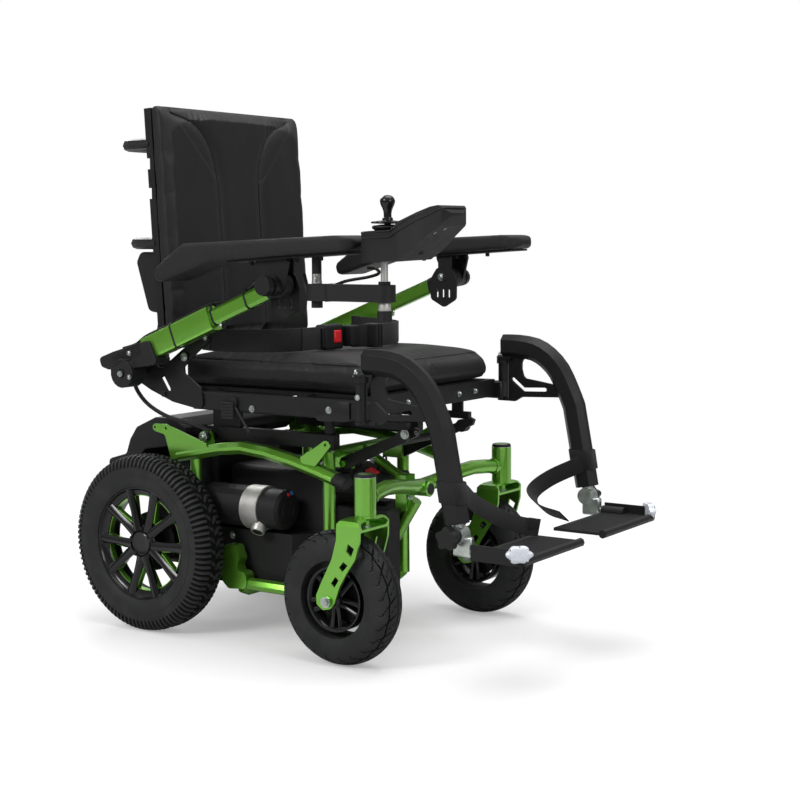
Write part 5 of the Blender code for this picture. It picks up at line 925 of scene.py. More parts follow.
for word, side in SIDES:
    centre, wheel = DRIVE_CENTRE[word], f"drive_wheel_{word}"
    keep(merge(f"drive_rim_{word}_skin", drive_rim(centre, side)), wheel, "gloss_black", f"drive_rim_{word}")
    # A dark flange lies behind the spokes, round the hub.
    bm = bmesh.new()
    lathe(bm, mirrored(RIM_FLANGE, side), centre, "X", 64, closed=True)
    keep(finished(f"rim_dish_{word}", bm, black_paint, 40), wheel)
    keep(rim_liners(f"rim_liners_{word}", centre, side), wheel, "green_paint")
    places = []
    for k in range(SPOKE_PAIRS):
        a = PAIR_START + math.pi / SPOKE_PAIRS + k * 2 * math.pi / SPOKE_PAIRS
        places.append((centre + Vector((side * 0.0222, *polar(BOLT_CIRCLE, a))), Vector((side, 0, 0))))
    keep(pattern(f"hub_bolts_{word}", STUDS, stud("bolt", HUB_BOLT, 12), black_paint, places), wheel,
         "gloss_black")
print("drive rims, liners and bolts")

# %% [markdown]
# ## Casters
#
# The small tyres are road treads: a rounded crown with a long wavy groove, short slanted sipes beside
# it and dashes on the shoulder. Their rims are gloss black with V-shaped spokes round an axle tube, and
# a dark web closes each rim between its two rows of spokes.


# %% Casters
CASTER_CENTRE = {word: Vector((side * 0.248, -0.134, 0.130)) for word, side in SIDES}
CASTER_HALF = (
    (0.0, 0.1300), (0.0080, 0.1293), (0.0160, 0.1268), (0.0235, 0.1222), (0.0292, 0.1152), (0.0328, 0.1060),
    (0.0344, 0.0960), (0.0343, 0.0860), (0.0328, 0.0765), (0.0325, 0.0762), (0.0318, 0.0700),
    (0.0298, 0.0645), (0.0285, 0.0628),
)


def arc_lookup(points, reach):
    """Where a surface distance from the crown lies on the half profile."""
    travelled = 0.0
    for (x0, r0), (x1, r1) in zip(points, points[1:]):
        step = math.hypot(x1 - x0, r1 - r0)
        if travelled + step >= reach:
            t = (reach - travelled) / step
            nx, nr = (r0 - r1) / step, (x1 - x0) / step
            return x0 + (x1 - x0) * t, r0 + (r1 - r0) * t, nx, nr
        travelled += step
    return (*points[-1], 1.0, 0.0)


GROOVE_DEPTH, TREAD_WAVES = 0.0026, 24


def groove_depth(reach, turns, end):
    """How deep the tread is cut at a surface distance from the crown and a share of the way round."""
    main = max(0.0, 1.4 - abs(reach - 0.0212 - 0.0006 * math.sin(TURN * turns * TREAD_WAVES)) / 0.0011)
    centre_line = max(0.0, 1.2 - abs(reach - 0.0022) / 0.0010) * 0.8
    bend = reach * reach * 900 * end
    across = (turns * TREAD_WAVES + 0.25 * (end > 0) + bend) % 1.0
    sipe = max(0.0, 1.5 - abs(across - 0.5) / 0.048) * (0.9 if 0.0090 < reach < 0.0355 else 0.0)
    dash = (turns * 2 * TREAD_WAVES + reach * 70 * end) % 1.0
    has_dash = 0.0052 < reach < 0.0100 or 0.0130 < reach < 0.0175
    short = max(0.0, 1.4 - abs(dash - 0.5) / 0.070) * (0.85 if has_dash else 0.0)
    return min(1.0, max(main, centre_line, sipe, short)) * GROOVE_DEPTH


AROUND, TREAD_EDGE, SHADED_CUT = 504, 0.036, 0.0034
REACHES = (
    0.0, 0.0016, 0.0022, 0.0028, 0.0034, 0.0040, 0.0052, 0.0056, 0.0075, 0.0095, 0.0108, 0.0120, 0.0132,
    0.0144, 0.0156, 0.0168, 0.0180, 0.0192, 0.0204, 0.0218, 0.0232, 0.0238, 0.0262, 0.0290, 0.0318, 0.0330,
    0.0350, 0.0420, 0.0520, 0.0600, 0.0680, 0.0740, 0.0762,
)


def caster_tyre(name, centre):
    bm = bmesh.new()
    deep = bm.verts.layers.float.new("cut")
    rows = []
    spots = [(-1, r) for r in reversed(REACHES[1:])] + [(1, r) for r in REACHES]
    for k in range(AROUND):
        row = []
        for end, reach in spots:
            x, r, nx, nr = arc_lookup(CASTER_HALF, reach)
            cut = groove_depth(reach, k / AROUND, end) if reach < TREAD_EDGE else 0.0
            x, r = x - nx * cut, r - nr * cut
            row.append(bm.verts.new(centre + Vector((end * x, *polar(r, TURN * k / AROUND)))))
            row[-1][deep] = cut
        rows.append(row)
    # Faces cut deeper than a set depth wear the grooves' painted shade.
    for face in loft(bm, rows, closed=True):
        face.material_index = int(sum(v[deep] for v in face.verts) > SHADED_CUT)
    piece = finished(name, bm, sidewall, 50)
    piece.data.materials.append(groove.material)
    return piece


CASTER_LIP = (
    (-0.0278, 0.0622), (-0.0278, 0.0590), (-0.0240, 0.0550), (-0.0150, 0.0530), (0.0150, 0.0530),
    (0.0240, 0.0550), (0.0278, 0.0590), (0.0278, 0.0622),
)
AXLE_TUBE = ((-0.0335, 0.0068), (-0.0335, 0.0120), (-0.0300, 0.0165), (0.0300, 0.0165), (0.0335, 0.0120),
             (0.0335, 0.0068))
CASTER_WEB = ((-0.0020, 0.0160), (-0.0020, 0.0465), (0.0, 0.0475), (0.0020, 0.0465), (0.0020, 0.0160))
CASTER_SPOKES = 5

for word, side in SIDES:
    centre, wheel = CASTER_CENTRE[word], f"caster_wheel_{word}"
    keep(caster_tyre(f"caster_tyre_{word}_skin", centre), wheel, "tyre", f"caster_tyre_{word}")
    bm = bmesh.new()
    lathe(bm, CASTER_LIP, centre, "X", 72, closed=True)
    for end in (-1, 1):
        for k in range(CASTER_SPOKES):
            middle = 0.3 + k * 2 * math.pi / CASTER_SPOKES
            for turn in (-1, 1):
                spoke_bar(bm, centre, end, middle + turn * 0.30, middle + turn * math.radians(26),
                          0.0140, 0.0570, 0.0250, 0.0100, 0.0028, 0.019)
    lathe(bm, AXLE_TUBE, centre, "X", 32, closed=True)
    keep(finished(f"caster_rim_{word}_skin", bm, gloss_black, 34), wheel, "gloss_black", f"caster_rim_{word}")
    # A dark web closes the rim between the two rows of spokes.
    bm = bmesh.new()
    lathe(bm, CASTER_WEB, centre, "X", 48, closed=True)
    keep(finished(f"caster_web_{word}", bm, black_paint, 40), wheel)

# %% [markdown]
# ## Cushions
#
# The seat and the back are vinyl covers over foam. Each starts as a slightly small block, is remeshed
# into an even net, and is blown up as cloth for twenty frames with gravity off. How far a point may
# move is capped, and where the pad rests on the pan or the rails it stays flat. The seams are pressed
# into the blown form afterwards, and their piping is laid on the surface that results.


# %% Padding
CLOTH_FRAMES, NET, SLIP = 20, 0.0055, 0.003


def slab(outline, half, edge):
    """A side-view outline, (y, z), as wide as 2 * half, with eased edges."""
    bm = bmesh.new()
    loft(bm, [[bm.verts.new((x, y, z)) for y, z in outline] for x in (-half, half)])
    bmesh.ops.recalc_face_normals(bm, faces=bm.faces)
    bmesh.ops.bevel(bm, geom=bm.edges[:], offset=edge, segments=3, profile=0.5, affect="EDGES")
    return bm


def netted(piece, voxel):
    remesh = piece.modifiers.new("even net", "REMESH")
    remesh.mode, remesh.voxel_size, remesh.use_smooth_shade = "VOXEL", voxel, True
    return baked(piece)


def subdivided(piece):
    finer = piece.modifiers.new("finer", "SUBSURF")
    finer.levels = finer.render_levels = 1
    return baked(piece)


def blown(piece, pressure, cap, limit, plane):
    """Cloth pressure; each point stays within the cap, near its place in the plane, and in its space."""
    before = [v.co.copy() for v in piece.data.vertices]
    air = piece.modifiers.new("air", "CLOTH")
    air.settings.use_pressure = True
    air.settings.uniform_pressure_force = pressure
    air.settings.effector_weights.gravity = 0
    air.settings.quality = 4
    air.settings.bending_stiffness = 0.8
    air.point_cache.frame_start, air.point_cache.frame_end = 1, CLOTH_FRAMES
    scene = bpy.context.scene
    for frame_number in range(1, CLOTH_FRAMES + 1):
        scene.frame_set(frame_number)
    graph = bpy.context.evaluated_depsgraph_get()
    after = [v.co.copy() for v in piece.evaluated_get(graph).data.vertices]
    piece.modifiers.clear()
    scene.frame_set(1)
    moved = 0.0
    for vertex, old, new in zip(piece.data.vertices, before, after):
        step = new - old
        for axis in plane:
            step[axis] = max(-SLIP, min(SLIP, step[axis]))
        if step.length > cap:
            step.length = cap
        vertex.co = limit(old + step)
        moved = max(moved, (vertex.co - old).length)
    print(piece.name, "blown by up to", round(moved * 1000, 1), "mm")
    return subdivided(piece)


def pressed(piece, depth_at):
    """Moves each point inwards along its normal by the depth that a function gives for it."""
    normals = [v.normal.copy() for v in piece.data.vertices]
    for vertex, normal in zip(piece.data.vertices, normals):
        depth = depth_at(vertex.co, normal)
        if depth:
            vertex.co -= normal * depth
    piece.data.update()


def bell(distance, width):
    return math.exp(-(distance / width) ** 2)


def polyline_distance(point, line):
    """The distance in a plane to a chain of points."""
    best = 1.0
    for a, b in zip(line, line[1:]):
        step = b - a
        t = max(0.0, min(1.0, (point - a).dot(step) / step.length_squared))
        best = min(best, (point - a - step * t).length)
    return best


def mesh_tree(*meshes):
    """A tree for casting rays onto one or more meshes."""
    points, faces = [], []
    for mesh in meshes:
        start = len(points)
        points += [v.co.copy() for v in mesh.vertices]
        faces += [[start + i for i in p.vertices] for p in mesh.polygons]
    return BVHTree.FromPolygons(points, faces)


def laid_on(tree, points, lift):
    """Drops each point backwards onto a surface and lifts it a little."""
    result = []
    for point in points:
        hit, _, _, _ = tree.ray_cast(point - REARWARD * 0.2, REARWARD)
        if hit is not None:
            result.append(hit - REARWARD * lift)
    return result


REARWARD = Vector((0, 1, 0))
PIPING_SIDES = 8


# %% Seat cushion
SEAT_FLOOR, SEAT_TOP, SEAT_SIDE = 0.5122, 0.5835, 0.2140
SEAT_PROFILE = (
    (0.286, 0.5128), (0.286, 0.566), (0.276, 0.5715), (-0.148, 0.5715), (-0.174, 0.553), (-0.181, 0.532),
    (-0.174, 0.517), (-0.157, 0.5128),
)


def held(value, low, high):
    return max(low, min(high, value))


def seat_limit(p):
    return Vector((held(p.x, -SEAT_SIDE, SEAT_SIDE), held(p.y, -0.1860, 0.2930),
                   held(p.z, SEAT_FLOOR, SEAT_TOP)))


seat = finished("seat_cushion_form", slab(SEAT_PROFILE, 0.2105, 0.005), vinyl, 180)
seat = blown(netted(seat, NET), 1.1, 0.012, seat_limit, (0, 1))
WELT_Z = 0.5675


def seat_seams(p, normal):
    """A boxing seam all round at the top edge, one lower down, and one down each front corner."""
    depth = 0.0
    upright = 1 - abs(normal.z)
    if upright > 0.25:
        depth += 0.0026 * bell(p.z - WELT_Z, 0.0030) + 0.0012 * bell(p.z - 0.5215, 0.0024)
        if abs(p.x) > 0.150 and p.y < -0.13:
            depth += 0.0018 * bell(abs(p.x) - 0.1985, 0.0030)
    pucker = math.sin(p.x * 210 + p.y * 190) * math.sin(p.y * 97 + 1.3) * bell(p.z - WELT_Z, 0.012)
    drift = noise.noise(p * 22) * 0.0004 + noise.noise(p * 9) * 0.0008
    hollow = 0.0035 * bell(p.x, 0.12) * bell(p.y - 0.10, 0.16) if normal.z > 0.7 else 0.0
    return depth + 0.0007 * pucker * upright + (drift if normal.z > 0.2 else 0.0) + hollow


pressed(seat, seat_seams)
seat.name = "seat_cushion_cover"
keep(seat, "seat", "upholstery", "seat_cushion")
print(seat.name, len(seat.data.polygons), "faces")


def outline_at(piece, height, spread):
    """The piece's own outline at one height, read off its surface by angle."""
    centre = Vector((0, 0.055, height))
    tree = mesh_tree(piece.data)
    line = []
    for k in range(180):
        direction = Vector((*polar(1.0, TURN * k / 180), 0))
        hit, _, _, _ = tree.ray_cast(centre + direction * 0.5, -direction)
        if hit is not None:
            line.append(hit + direction * spread)
    return line


def closed_piping(name, line, radius, finish=vinyl):
    bm = bmesh.new()
    placed = frames([*line, line[0], line[1]])[:len(line)]
    loft(bm, carried(bm, placed, circle_section(radius, PIPING_SIDES)), closed=True)
    return finished(name, bm, finish, 60)


keep(closed_piping("seat_cushion_welt", outline_at(seat, WELT_Z, 0.0002), 0.0013), "seat", "upholstery")

# %% [markdown]
# ## The back
#
# The back's middle panel is held by two seams that run down beside the spine and sweep out to the top
# corners. The cover is gathered where the curve is tightest, and the side bolsters stand a little
# proud of the panel.

# %% Back cushion
BACK_LEAN = 0.0586


def back_plane(z):
    return 0.310 + BACK_LEAN * (z - 0.8125)


def back_limit(p):
    plane = back_plane(p.z)
    return Vector((held(p.x, -0.2300, 0.2300), held(p.y, plane - 0.0075, plane + 0.0318),
                   held(p.z, 0.5955, 1.0850)))


BACK_PROFILE = [(back_plane(z) + depth, z) for z, depth in (
    (0.599, 0.0305), (0.599, 0.0070), (0.720, 0.0040), (0.840, 0.0035), (0.960, 0.0040), (1.062, 0.0055),
    (1.079, 0.0120), (1.079, 0.0305))]
back = finished("back_cushion_form", slab(BACK_PROFILE, 0.2270, 0.0050), vinyl, 180)
back = blown(netted(back, NET), 2.4, 0.022, back_limit, (0, 2))
SEAM_X = 0.0657
SEAM_RIGHT = smooth_line([(SEAM_X, 0, 0.600), (SEAM_X, 0, 0.813), (0.0670, 0, 0.920), (0.0760, 0, 0.975),
                          (0.1010, 0, 1.022), (0.1400, 0, 1.050), (0.1870, 0, 1.0660)], 6)
SEAM_FLAT = [Vector((p.x, p.z)) for p in SEAM_RIGHT]


def back_seams(p, normal):
    if normal.y > -0.25:
        return 0.0
    flat = Vector((abs(p.x), p.z))
    away = polyline_distance(flat, SEAM_FLAT) if abs(p.x) < 0.215 else 1.0
    depth = 0.0042 * bell(away, 0.0130) + 0.0028 * bell(away, 0.0036)
    # The panel between the seams lies a little deeper than the bolsters.
    under_sweep = p.z > 0.93 and abs(p.x) < 0.187 and away < 0.2
    inside = abs(p.x) < SEAM_X or (under_sweep and flat.y > 0.92 + 0.13 * (abs(p.x) - SEAM_X) / 0.12)
    depth += 0.0012 if inside else 0.0
    # Short gathers run down from the top edge where the seam turns.
    for place, lean in ((0.098, 0.10), (0.112, 0.20), (0.127, 0.28), (0.143, 0.38)):
        line = abs(p.x) - place - (1.058 - p.z) * lean
        depth += 0.0017 * bell(line, 0.0028) * bell(p.z - 1.052, 0.017)
    # Slack in the cover shows as faint folds that run down from the shoulders.
    fold = math.sin(abs(p.x) * 62 + p.z * 9) * bell(p.z - 0.97, 0.10) * bell(abs(p.x) - 0.16, 0.05)
    drift = noise.noise(Vector((p.x * 16, p.z * 7, 2.5))) * 0.0016
    return depth + fold * 0.0009 + drift


pressed(back, back_seams)
back.name = "back_cushion_cover"
keep(back, "back", "upholstery", "back_cushion")
surface = mesh_tree(back.data)
for word, side in SIDES:
    line = laid_on(surface, [Vector((side * p.x, 0.3, p.z)) for p in SEAM_RIGHT[2:]], 0.0003)
    bm = bmesh.new()
    sweep(bm, line, circle_section(0.0011, PIPING_SIDES))
    keep(finished(f"back_seam_{word}", bm, vinyl, 60), "back", "upholstery")
print(back.name, len(back.data.polygons), "faces")


# %% Stitches
STITCH_SPACING = 0.0042


def stitches(name, tree, points):
    """A row of short stitches on a surface, beside a seam."""
    line = laid_on(tree, points, 0.0002)
    places, travelled = [], 0.0
    for a, b in zip(line, line[1:]):
        length = (b - a).length
        while travelled < length:
            places.append((a + (b - a) * (travelled / length), (b - a).normalized()))
            travelled += STITCH_SPACING
        travelled -= length
    bm = bmesh.new()
    lathe(bm, ((-0.0013, 0.0), (-0.0009, 0.00030), (0.0009, 0.00030), (0.0013, 0.0)), (0, 0, 0), "Z", 6)
    return pattern(name, STUDS, finished("stitch", bm, vinyl, 60), vinyl, places)


for word, side in SIDES:
    beside = [Vector((side * (p.x + 0.0055), 0.3, p.z + 0.0035 * (p.x > 0.08))) for p in SEAM_RIGHT[2:-4]]
    keep(stitches(f"back_stitches_{word}", surface, beside), "back", "upholstery")
print("stitches laid")

# %% [markdown]
# ## Arm pads
#
# The arm pads are moulded foam with a skin: firm, with a flat top, full edges and a drooping rear end.
# The solid is remeshed, softened and subdivided, so that every edge turns over smoothly.

# %% Arm pads
for word, side in SIDES:
    pad = finished(f"arm_pad_{word}_skin", welded(f"arm_pad_{word}"), pad_skin, 180)
    netted(pad, 0.0040)
    softer = pad.modifiers.new("softer", "SMOOTH")
    softer.factor, softer.iterations = 0.5, 4
    baked(pad)
    subdivided(pad)
    keep(pad, f"pad_{word}", "upholstery", f"arm_pad_{word}")
print("arm pads")

# %% [markdown]
# ## Belts and heel straps
#
# Webbing is woven flat tape. Each strap is one swept band that carries its own UV map in metres, so
# the weave has its true scale however the strap turns. Fold-overs and sleeves are modelled as the extra
# layers that they are.


# %% Straps
def band(name, points, thick, height):
    bm = bmesh.new()
    sweep(bm, smooth_line(points, 8), soft_rectangle(thick, height, thick * 0.42, 2), uv_name=STRAP_MAP)
    return finished(name, bm, webbing, 45)


BELT_RIGHT = ((-0.2520, 0.200, 0.611), (-0.2500, 0.170, 0.609), (-0.2370, 0.120, 0.608),
              (-0.2020, 0.062, 0.608),
              (-0.1500, 0.036, 0.608), (-0.0800, 0.034, 0.608))
BELT_LEFT = ((0.2520, 0.200, 0.611), (0.2500, 0.170, 0.609), (0.2350, 0.110, 0.608), (0.1900, 0.040, 0.608),
             (0.1200, -0.004, 0.608), (0.0400, -0.010, 0.608), (-0.0120, 0.012, 0.608))
LEFT_TAIL = ((0.1850, 0.0310, 0.608), (0.1200, -0.0085, 0.608), (0.0700, -0.0150, 0.608),
             (0.0330, -0.0150, 0.608))
RIGHT_FOLD = ((-0.1480, 0.0325, 0.608), (-0.1150, 0.0310, 0.608), (-0.0850, 0.0305, 0.608))
keep(band("belt_right_tape", BELT_RIGHT, 0.0022, 0.0455), "seat", "webbing", "belt_right")
keep(band("belt_left_tape", BELT_LEFT, 0.0022, 0.0455), "seat", "webbing", "belt_left")
# The left tape runs through the adjuster and back on itself; the right one is folded over behind the buckle.
keep(band("belt_left_tail", LEFT_TAIL, 0.0020, 0.0450), "seat", "webbing")
keep(band("belt_right_fold", RIGHT_FOLD, 0.0022, 0.0450), "seat", "webbing")


def moulding(name, low, high, edge, finish, holes=(), segments=4):
    """A moulded block with generous edges, with pockets cut out of it."""
    bm = bmesh.new()
    block(bm, low, high)
    bmesh.ops.recalc_face_normals(bm, faces=bm.faces)
    bmesh.ops.bevel(bm, geom=bm.edges[:], offset=edge, segments=segments, profile=0.6, affect="EDGES")
    piece = finished(name, bm, finish, 30)
    cutters = []
    for hole_low, hole_high in holes:
        cut = bmesh.new()
        block(cut, hole_low, hole_high)
        cutter = finished("cutter", cut, finish, 30)
        cutters.append(cutter)
        boolean = piece.modifiers.new("pocket", "BOOLEAN")
        boolean.object, boolean.operation, boolean.solver = cutter, "DIFFERENCE", "EXACT"
    if holes:
        rim = piece.modifiers.new("rim", "BEVEL")
        rim.width, rim.segments, rim.limit_method, rim.angle_limit = 0.0006, 2, "ANGLE", math.radians(50)
        baked(piece)
        for cutter in cutters:
            bpy.data.objects.remove(cutter)
    return piece


for name, low, high, edge, holes in (
        ("buckle_shell", (-0.088, 0.020, 0.583), (-0.026, 0.048, 0.634), 0.0065,
         [((-0.0604, 0.010, 0.5956), (-0.0356, 0.0285, 0.6224))]),
        ("buckle_collar", (-0.092, 0.0235, 0.588), (-0.083, 0.0445, 0.629), 0.003, ()),
        ("belt_tongue", (-0.0240, 0.0020, 0.5875), (0.0060, 0.0270, 0.6305), 0.0050, ()),
        ("belt_adjuster", (0.0200, -0.0285, 0.5840), (0.0460, 0.0045, 0.6330), 0.0045,
         [((0.0270, -0.0320, 0.5880), (0.0300, -0.0240, 0.6290)),
          ((0.0360, -0.0320, 0.5880), (0.0390, -0.0240, 0.6290))])):
    keep(moulding(name, low, high, edge, black_plastic, holes), "seat", "black_plastic")
for word, side in SIDES:
    low, high = (side * 0.2535 - 0.0012, 0.1800, 0.5900), (side * 0.2535 + 0.0012, 0.2060, 0.6330)
    keep(moulding(f"belt_anchor_{word}", low, high, 0.0009, black_paint), "seat", "black_paint")

LEG_X = 0.2500
STRAP_ROUTES = {
    "right": ((0.2328, -0.400, 0.350), (0.190, -0.396, 0.324), (0.130, -0.408, 0.292), (0.088, -0.432, 0.272),
              (0.062, -0.455, 0.2655)),
    "left": ((0.2318, -0.392, 0.345), (0.196, -0.335, 0.314), (0.148, -0.322, 0.288), (0.098, -0.375, 0.270),
             (0.066, -0.440, 0.2655)),
}
# Heights of a sleeve's rings, and how far each stands off the leg.
SLEEVE = ((0.3335, 0.0009), (0.3345, 0.0018), (0.3530, 0.0018), (0.3710, 0.0018), (0.3720, 0.0009))


def leg_y(z):
    return -0.3734 - 0.171 * (0.420 - z)


def sleeve(name, side):
    """A tape sleeve round the leg, whose weave follows it round."""
    bm = bmesh.new()
    loft(bm, [[bm.verts.new((side * LEG_X + x, leg_y(z) + y, z))
               for x, y in soft_rectangle(0.0337 + 2 * swell, 0.0488 + 2 * swell, 0.0120, 5)]
              for z, swell in SLEEVE], caps=False)
    layer = bm.loops.layers.uv.new(STRAP_MAP)
    for face in bm.faces:
        for loop in face.loops:
            p = loop.vert.co
            loop[layer].uv = (math.atan2(p.y - leg_y(p.z), p.x - side * LEG_X) * 0.026, p.z)
    return finished(name, bm, webbing, 50, outward=False)


for word, side in SIDES:
    route = [(side * x, y, z) for x, y, z in STRAP_ROUTES[word]]
    keep(band(f"heel_strap_{word}_tape", route, 0.0024, 0.0335), f"hanger_{word}", "webbing",
         f"heel_strap_{word}")
    keep(sleeve(f"heel_strap_{word}_sleeve", side), f"hanger_{word}", "webbing")
    if word == "right":
        # The right strap's end is folded over and stitched near the plate.
        ends = [Vector(p) for p in route[-2:]]
        fold = ends[1] - (ends[1] - ends[0]).normalized() * 0.024
        lift = Vector((0, -0.0024, 0))
        line = [fold + lift, (fold + ends[1]) / 2 + lift, ends[1] + lift]
        keep(band("heel_strap_right_fold", line, 0.0022, 0.0330), "hanger_right", "webbing")
print("belts and heel straps")

# %% [markdown]
# ## Joystick
#
# The stick is one glossy moulding: a ball that runs down into a neck, over a thin skirt. Under it sits
# a thick rubber ring. The box is closed by a raised lip seam that runs all round below its top panel.


# %% Joystick
def solid_tree(*nodes):
    return mesh_tree(*(NODES[node].data for node in nodes))


def seated(node, point, facing):
    """Where a ray against the facing direction meets a solid, starting 60 mm outside the given point."""
    if node is None:
        return Vector(point)
    facing = Vector(facing).normalized()
    hit, _, _, _ = solid_tree(node).ray_cast(Vector(point) + facing * 0.06, -facing)
    return hit if hit is not None else Vector(point)


def turned(name, centre, profile, finish, body, axis="Z", segments=32, slot=None, *nodes):
    bm = bmesh.new()
    lathe(bm, profile, centre, axis, segments)
    return keep(finished(name, bm, finish, 34), body, slot, *nodes)


STICK = (JOYSTICK_X, -0.278, 0.0)
KNOB = (
    (0.8262, 0.0), (0.8262, 0.0060), (0.8325, 0.0062), (0.8335, 0.0285), (0.8342, 0.0298), (0.8352, 0.0300),
    (0.8362, 0.0296), (0.8372, 0.0275), (0.8386, 0.0120), (0.8392, 0.0098), (0.8432, 0.0094),
    (0.8446, 0.0072), (0.8500, 0.0069), (0.8560, 0.0078), (0.8610, 0.0096), (0.8655, 0.0119),
    (0.8700, 0.0133), (0.8735, 0.0136), (0.8775, 0.0124), (0.8808, 0.0097), (0.8830, 0.0058), (0.8840, 0.0),
)
BOOT = (
    (0.8205, 0.0), (0.8205, 0.0235), (0.8222, 0.0240), (0.8232, 0.0262), (0.8248, 0.0278), (0.8268, 0.0284),
    (0.8286, 0.0276), (0.8300, 0.0252), (0.8306, 0.0190), (0.8316, 0.0130), (0.8320, 0.0),
)
turned("joystick_knob_skin", STICK, KNOB, gloss_black, "joystick_knob", "Z", 48, "gloss_black",
       "joystick_knob")
turned("joystick_boot_skin", STICK, BOOT, rubber, "joystick_box", "Z", 48, SLOT_OF["joystick_boot"],
       "joystick_boot")
for number in (1, 2, 3):
    dress(f"joystick_button_{number}", 0.0005)


def panel_height(y):
    """The height of the joystick box's top panel, which bends upwards towards its nose."""
    return 0.822 + (0.039 * (-0.315 - y) / 0.083 if y < -0.315 else -0.004 * (y + 0.315) / 0.0875)


def box_lip(drop, spread):
    """The outline of the joystick box a little below its top panel."""
    tree = solid_tree("joystick_box")
    line = []
    for k in range(96):
        out = Vector((*polar(1.0, TURN * k / 96), 0))
        centre = Vector((JOYSTICK_X, -0.318, 0))
        height = panel_height(centre.y) - drop
        for _ in range(4):
            hit, _, _, _ = tree.ray_cast(Vector((centre.x, centre.y, height)) + out * 0.2, -out)
            if hit is None:
                break
            height = panel_height(hit.y) - drop
        if hit is not None:
            line.append(Vector((hit.x, hit.y, height)) + out * spread)
    return line


keep(closed_piping("joystick_box_lip", box_lip(0.0120, 0.0003), 0.0012, black_plastic), "joystick_box",
     "black_plastic")
keep(closed_piping("joystick_box_rim", box_lip(0.0022, 0.0000), 0.0009, gloss_black), "joystick_box",
     "gloss_black")
POST = ((0.7300, 0.0), (0.7300, 0.0066), (0.7660, 0.0066), (0.7660, 0.0))
COLLAR = ((0.6765, 0.0), (0.6765, 0.0106), (0.6778, 0.0114), (0.6915, 0.0114), (0.6928, 0.0106),
          (0.6928, 0.0))
PIN = ((0.7242, 0.0), (0.7242, 0.0090), (0.7250, 0.0096), (0.7300, 0.0096), (0.7306, 0.0088),
       (0.7425, 0.0088),
       (0.7432, 0.0070), (0.7500, 0.0070), (0.7500, 0.0))
PIN_RING = ((-0.0012, 0.0), (-0.0012, 0.0052), (0.0012, 0.0052), (0.0012, 0.0))
turned("joystick_post", (JOYSTICK_X, -0.270, 0), POST, bare_metal, "joystick_box", "Z", 24)
turned("joystick_collar", (JOYSTICK_X, -0.270, 0), COLLAR, bare_metal, "joystick_box")
turned("link_pin", (JOYSTICK_X, -0.118, 0), PIN, bare_metal, "pad_right")
turned("link_pin_ring", (-0.3045, -0.1255, 0.7330), PIN_RING, bare_metal, "pad_right", "Y", 20)
print("joystick")

# %% [markdown]
# ## Cables and their ties
#
# Three cables are held along the frame: one up the right arm, one along the joystick's link and one
# down past the right side plate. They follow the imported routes. Nylon ties go round arm and cable,
# tight, so each tie is the convex outline of what it holds.

# %% Cables
CABLES = {
    "cable_lower": (0.0042, (
        (-0.2639, 0.3740, 0.5500), (-0.2639, 0.3785, 0.5300), (-0.2630, 0.3720, 0.5020),
        (-0.2560, 0.3480, 0.4720), (-0.2400, 0.3120, 0.4480), (-0.2200, 0.2680, 0.4340),
        (-0.2040, 0.2300, 0.4200))),
    "cable_arm": (0.0030, (
        (-0.2900, 0.3800, 0.5873), (-0.2900, 0.3450, 0.5970), (-0.2900, 0.3163, 0.6141),
        (-0.2900, 0.2600, 0.6359), (-0.2900, 0.2000, 0.6595), (-0.2900, 0.1450, 0.6816),
        (-0.2900, 0.1050, 0.6882), (-0.2900, 0.0600, 0.7060), (-0.2860, 0.0370, 0.7225),
        (-0.2680, 0.0250, 0.7480))),
    "cable_joystick": (0.0030, (
        (-0.2700, -0.0700, 0.7420), (-0.2680, -0.0770, 0.7150), (-0.2690, -0.0860, 0.7040),
        (-0.2704, -0.1160, 0.7100), (-0.2740, -0.1650, 0.7280), (-0.2700, -0.2170, 0.7370),
        (-0.2720, -0.2420, 0.7440), (-0.2700, -0.2350, 0.7520), (-0.2690, -0.2160, 0.7540))),
}
for node_name, (radius, route) in CABLES.items():
    bm = bmesh.new()
    sweep(bm, smooth_line(route, 10), circle_section(radius, 14))
    keep(finished(node_name + "_skin", bm, rubber, 50), BODY_OF[node_name], SLOT_OF[node_name], node_name)


def turns_left(a, b, c):
    return (b[0] - a[0]) * (c[1] - a[1]) > (b[1] - a[1]) * (c[0] - a[0])


def hull(points):
    """The convex outline of flat points, anticlockwise."""
    points = sorted(set(points))
    halves = []
    for run in (points, points[::-1]):
        half = []
        for p in run:
            while len(half) > 1 and not turns_left(half[-2], half[-1], p):
                half.pop()
            half.append(p)
        halves.append(half[:-1])
    return halves[0] + halves[1]


def strap_round(name, nodes, centre, along, side, finish, body, width=0.0042, thick=0.0010):
    """A tight band round solids: their convex outline in the plane across a direction."""
    along, centre = Vector(along).normalized(), Vector(centre)
    across = Vector(side)
    across = (across - along * across.dot(along)).normalized()
    up = along.cross(across)
    tree = solid_tree(*nodes)
    found = []
    for k in range(96):
        a = 2 * math.pi * k / 96
        out = across * math.cos(a) + up * math.sin(a)
        hit, _, _, _ = tree.ray_cast(centre + out * 0.05, -out)
        if hit is not None:
            found.append((round((hit - centre).dot(across), 6), round((hit - centre).dot(up), 6)))
    outline = hull(found)
    bm = bmesh.new()
    rows = []
    crown = thick * 1.25
    for out, shift in ((0.0002, -0.5), (thick, -0.5), (crown, -0.3), (crown, 0.3), (thick, 0.5),
                       (0.0002, 0.5)):
        row = []
        for x, z in outline:
            flat = Vector((x, z))
            flat = flat + flat.normalized() * out
            row.append(bm.verts.new(centre + across * flat.x + up * flat.y + along * shift * width))
        rows.append(row)
    loft(bm, rows, closed=True)
    return keep(finished(name, bm, finish, 50), body)


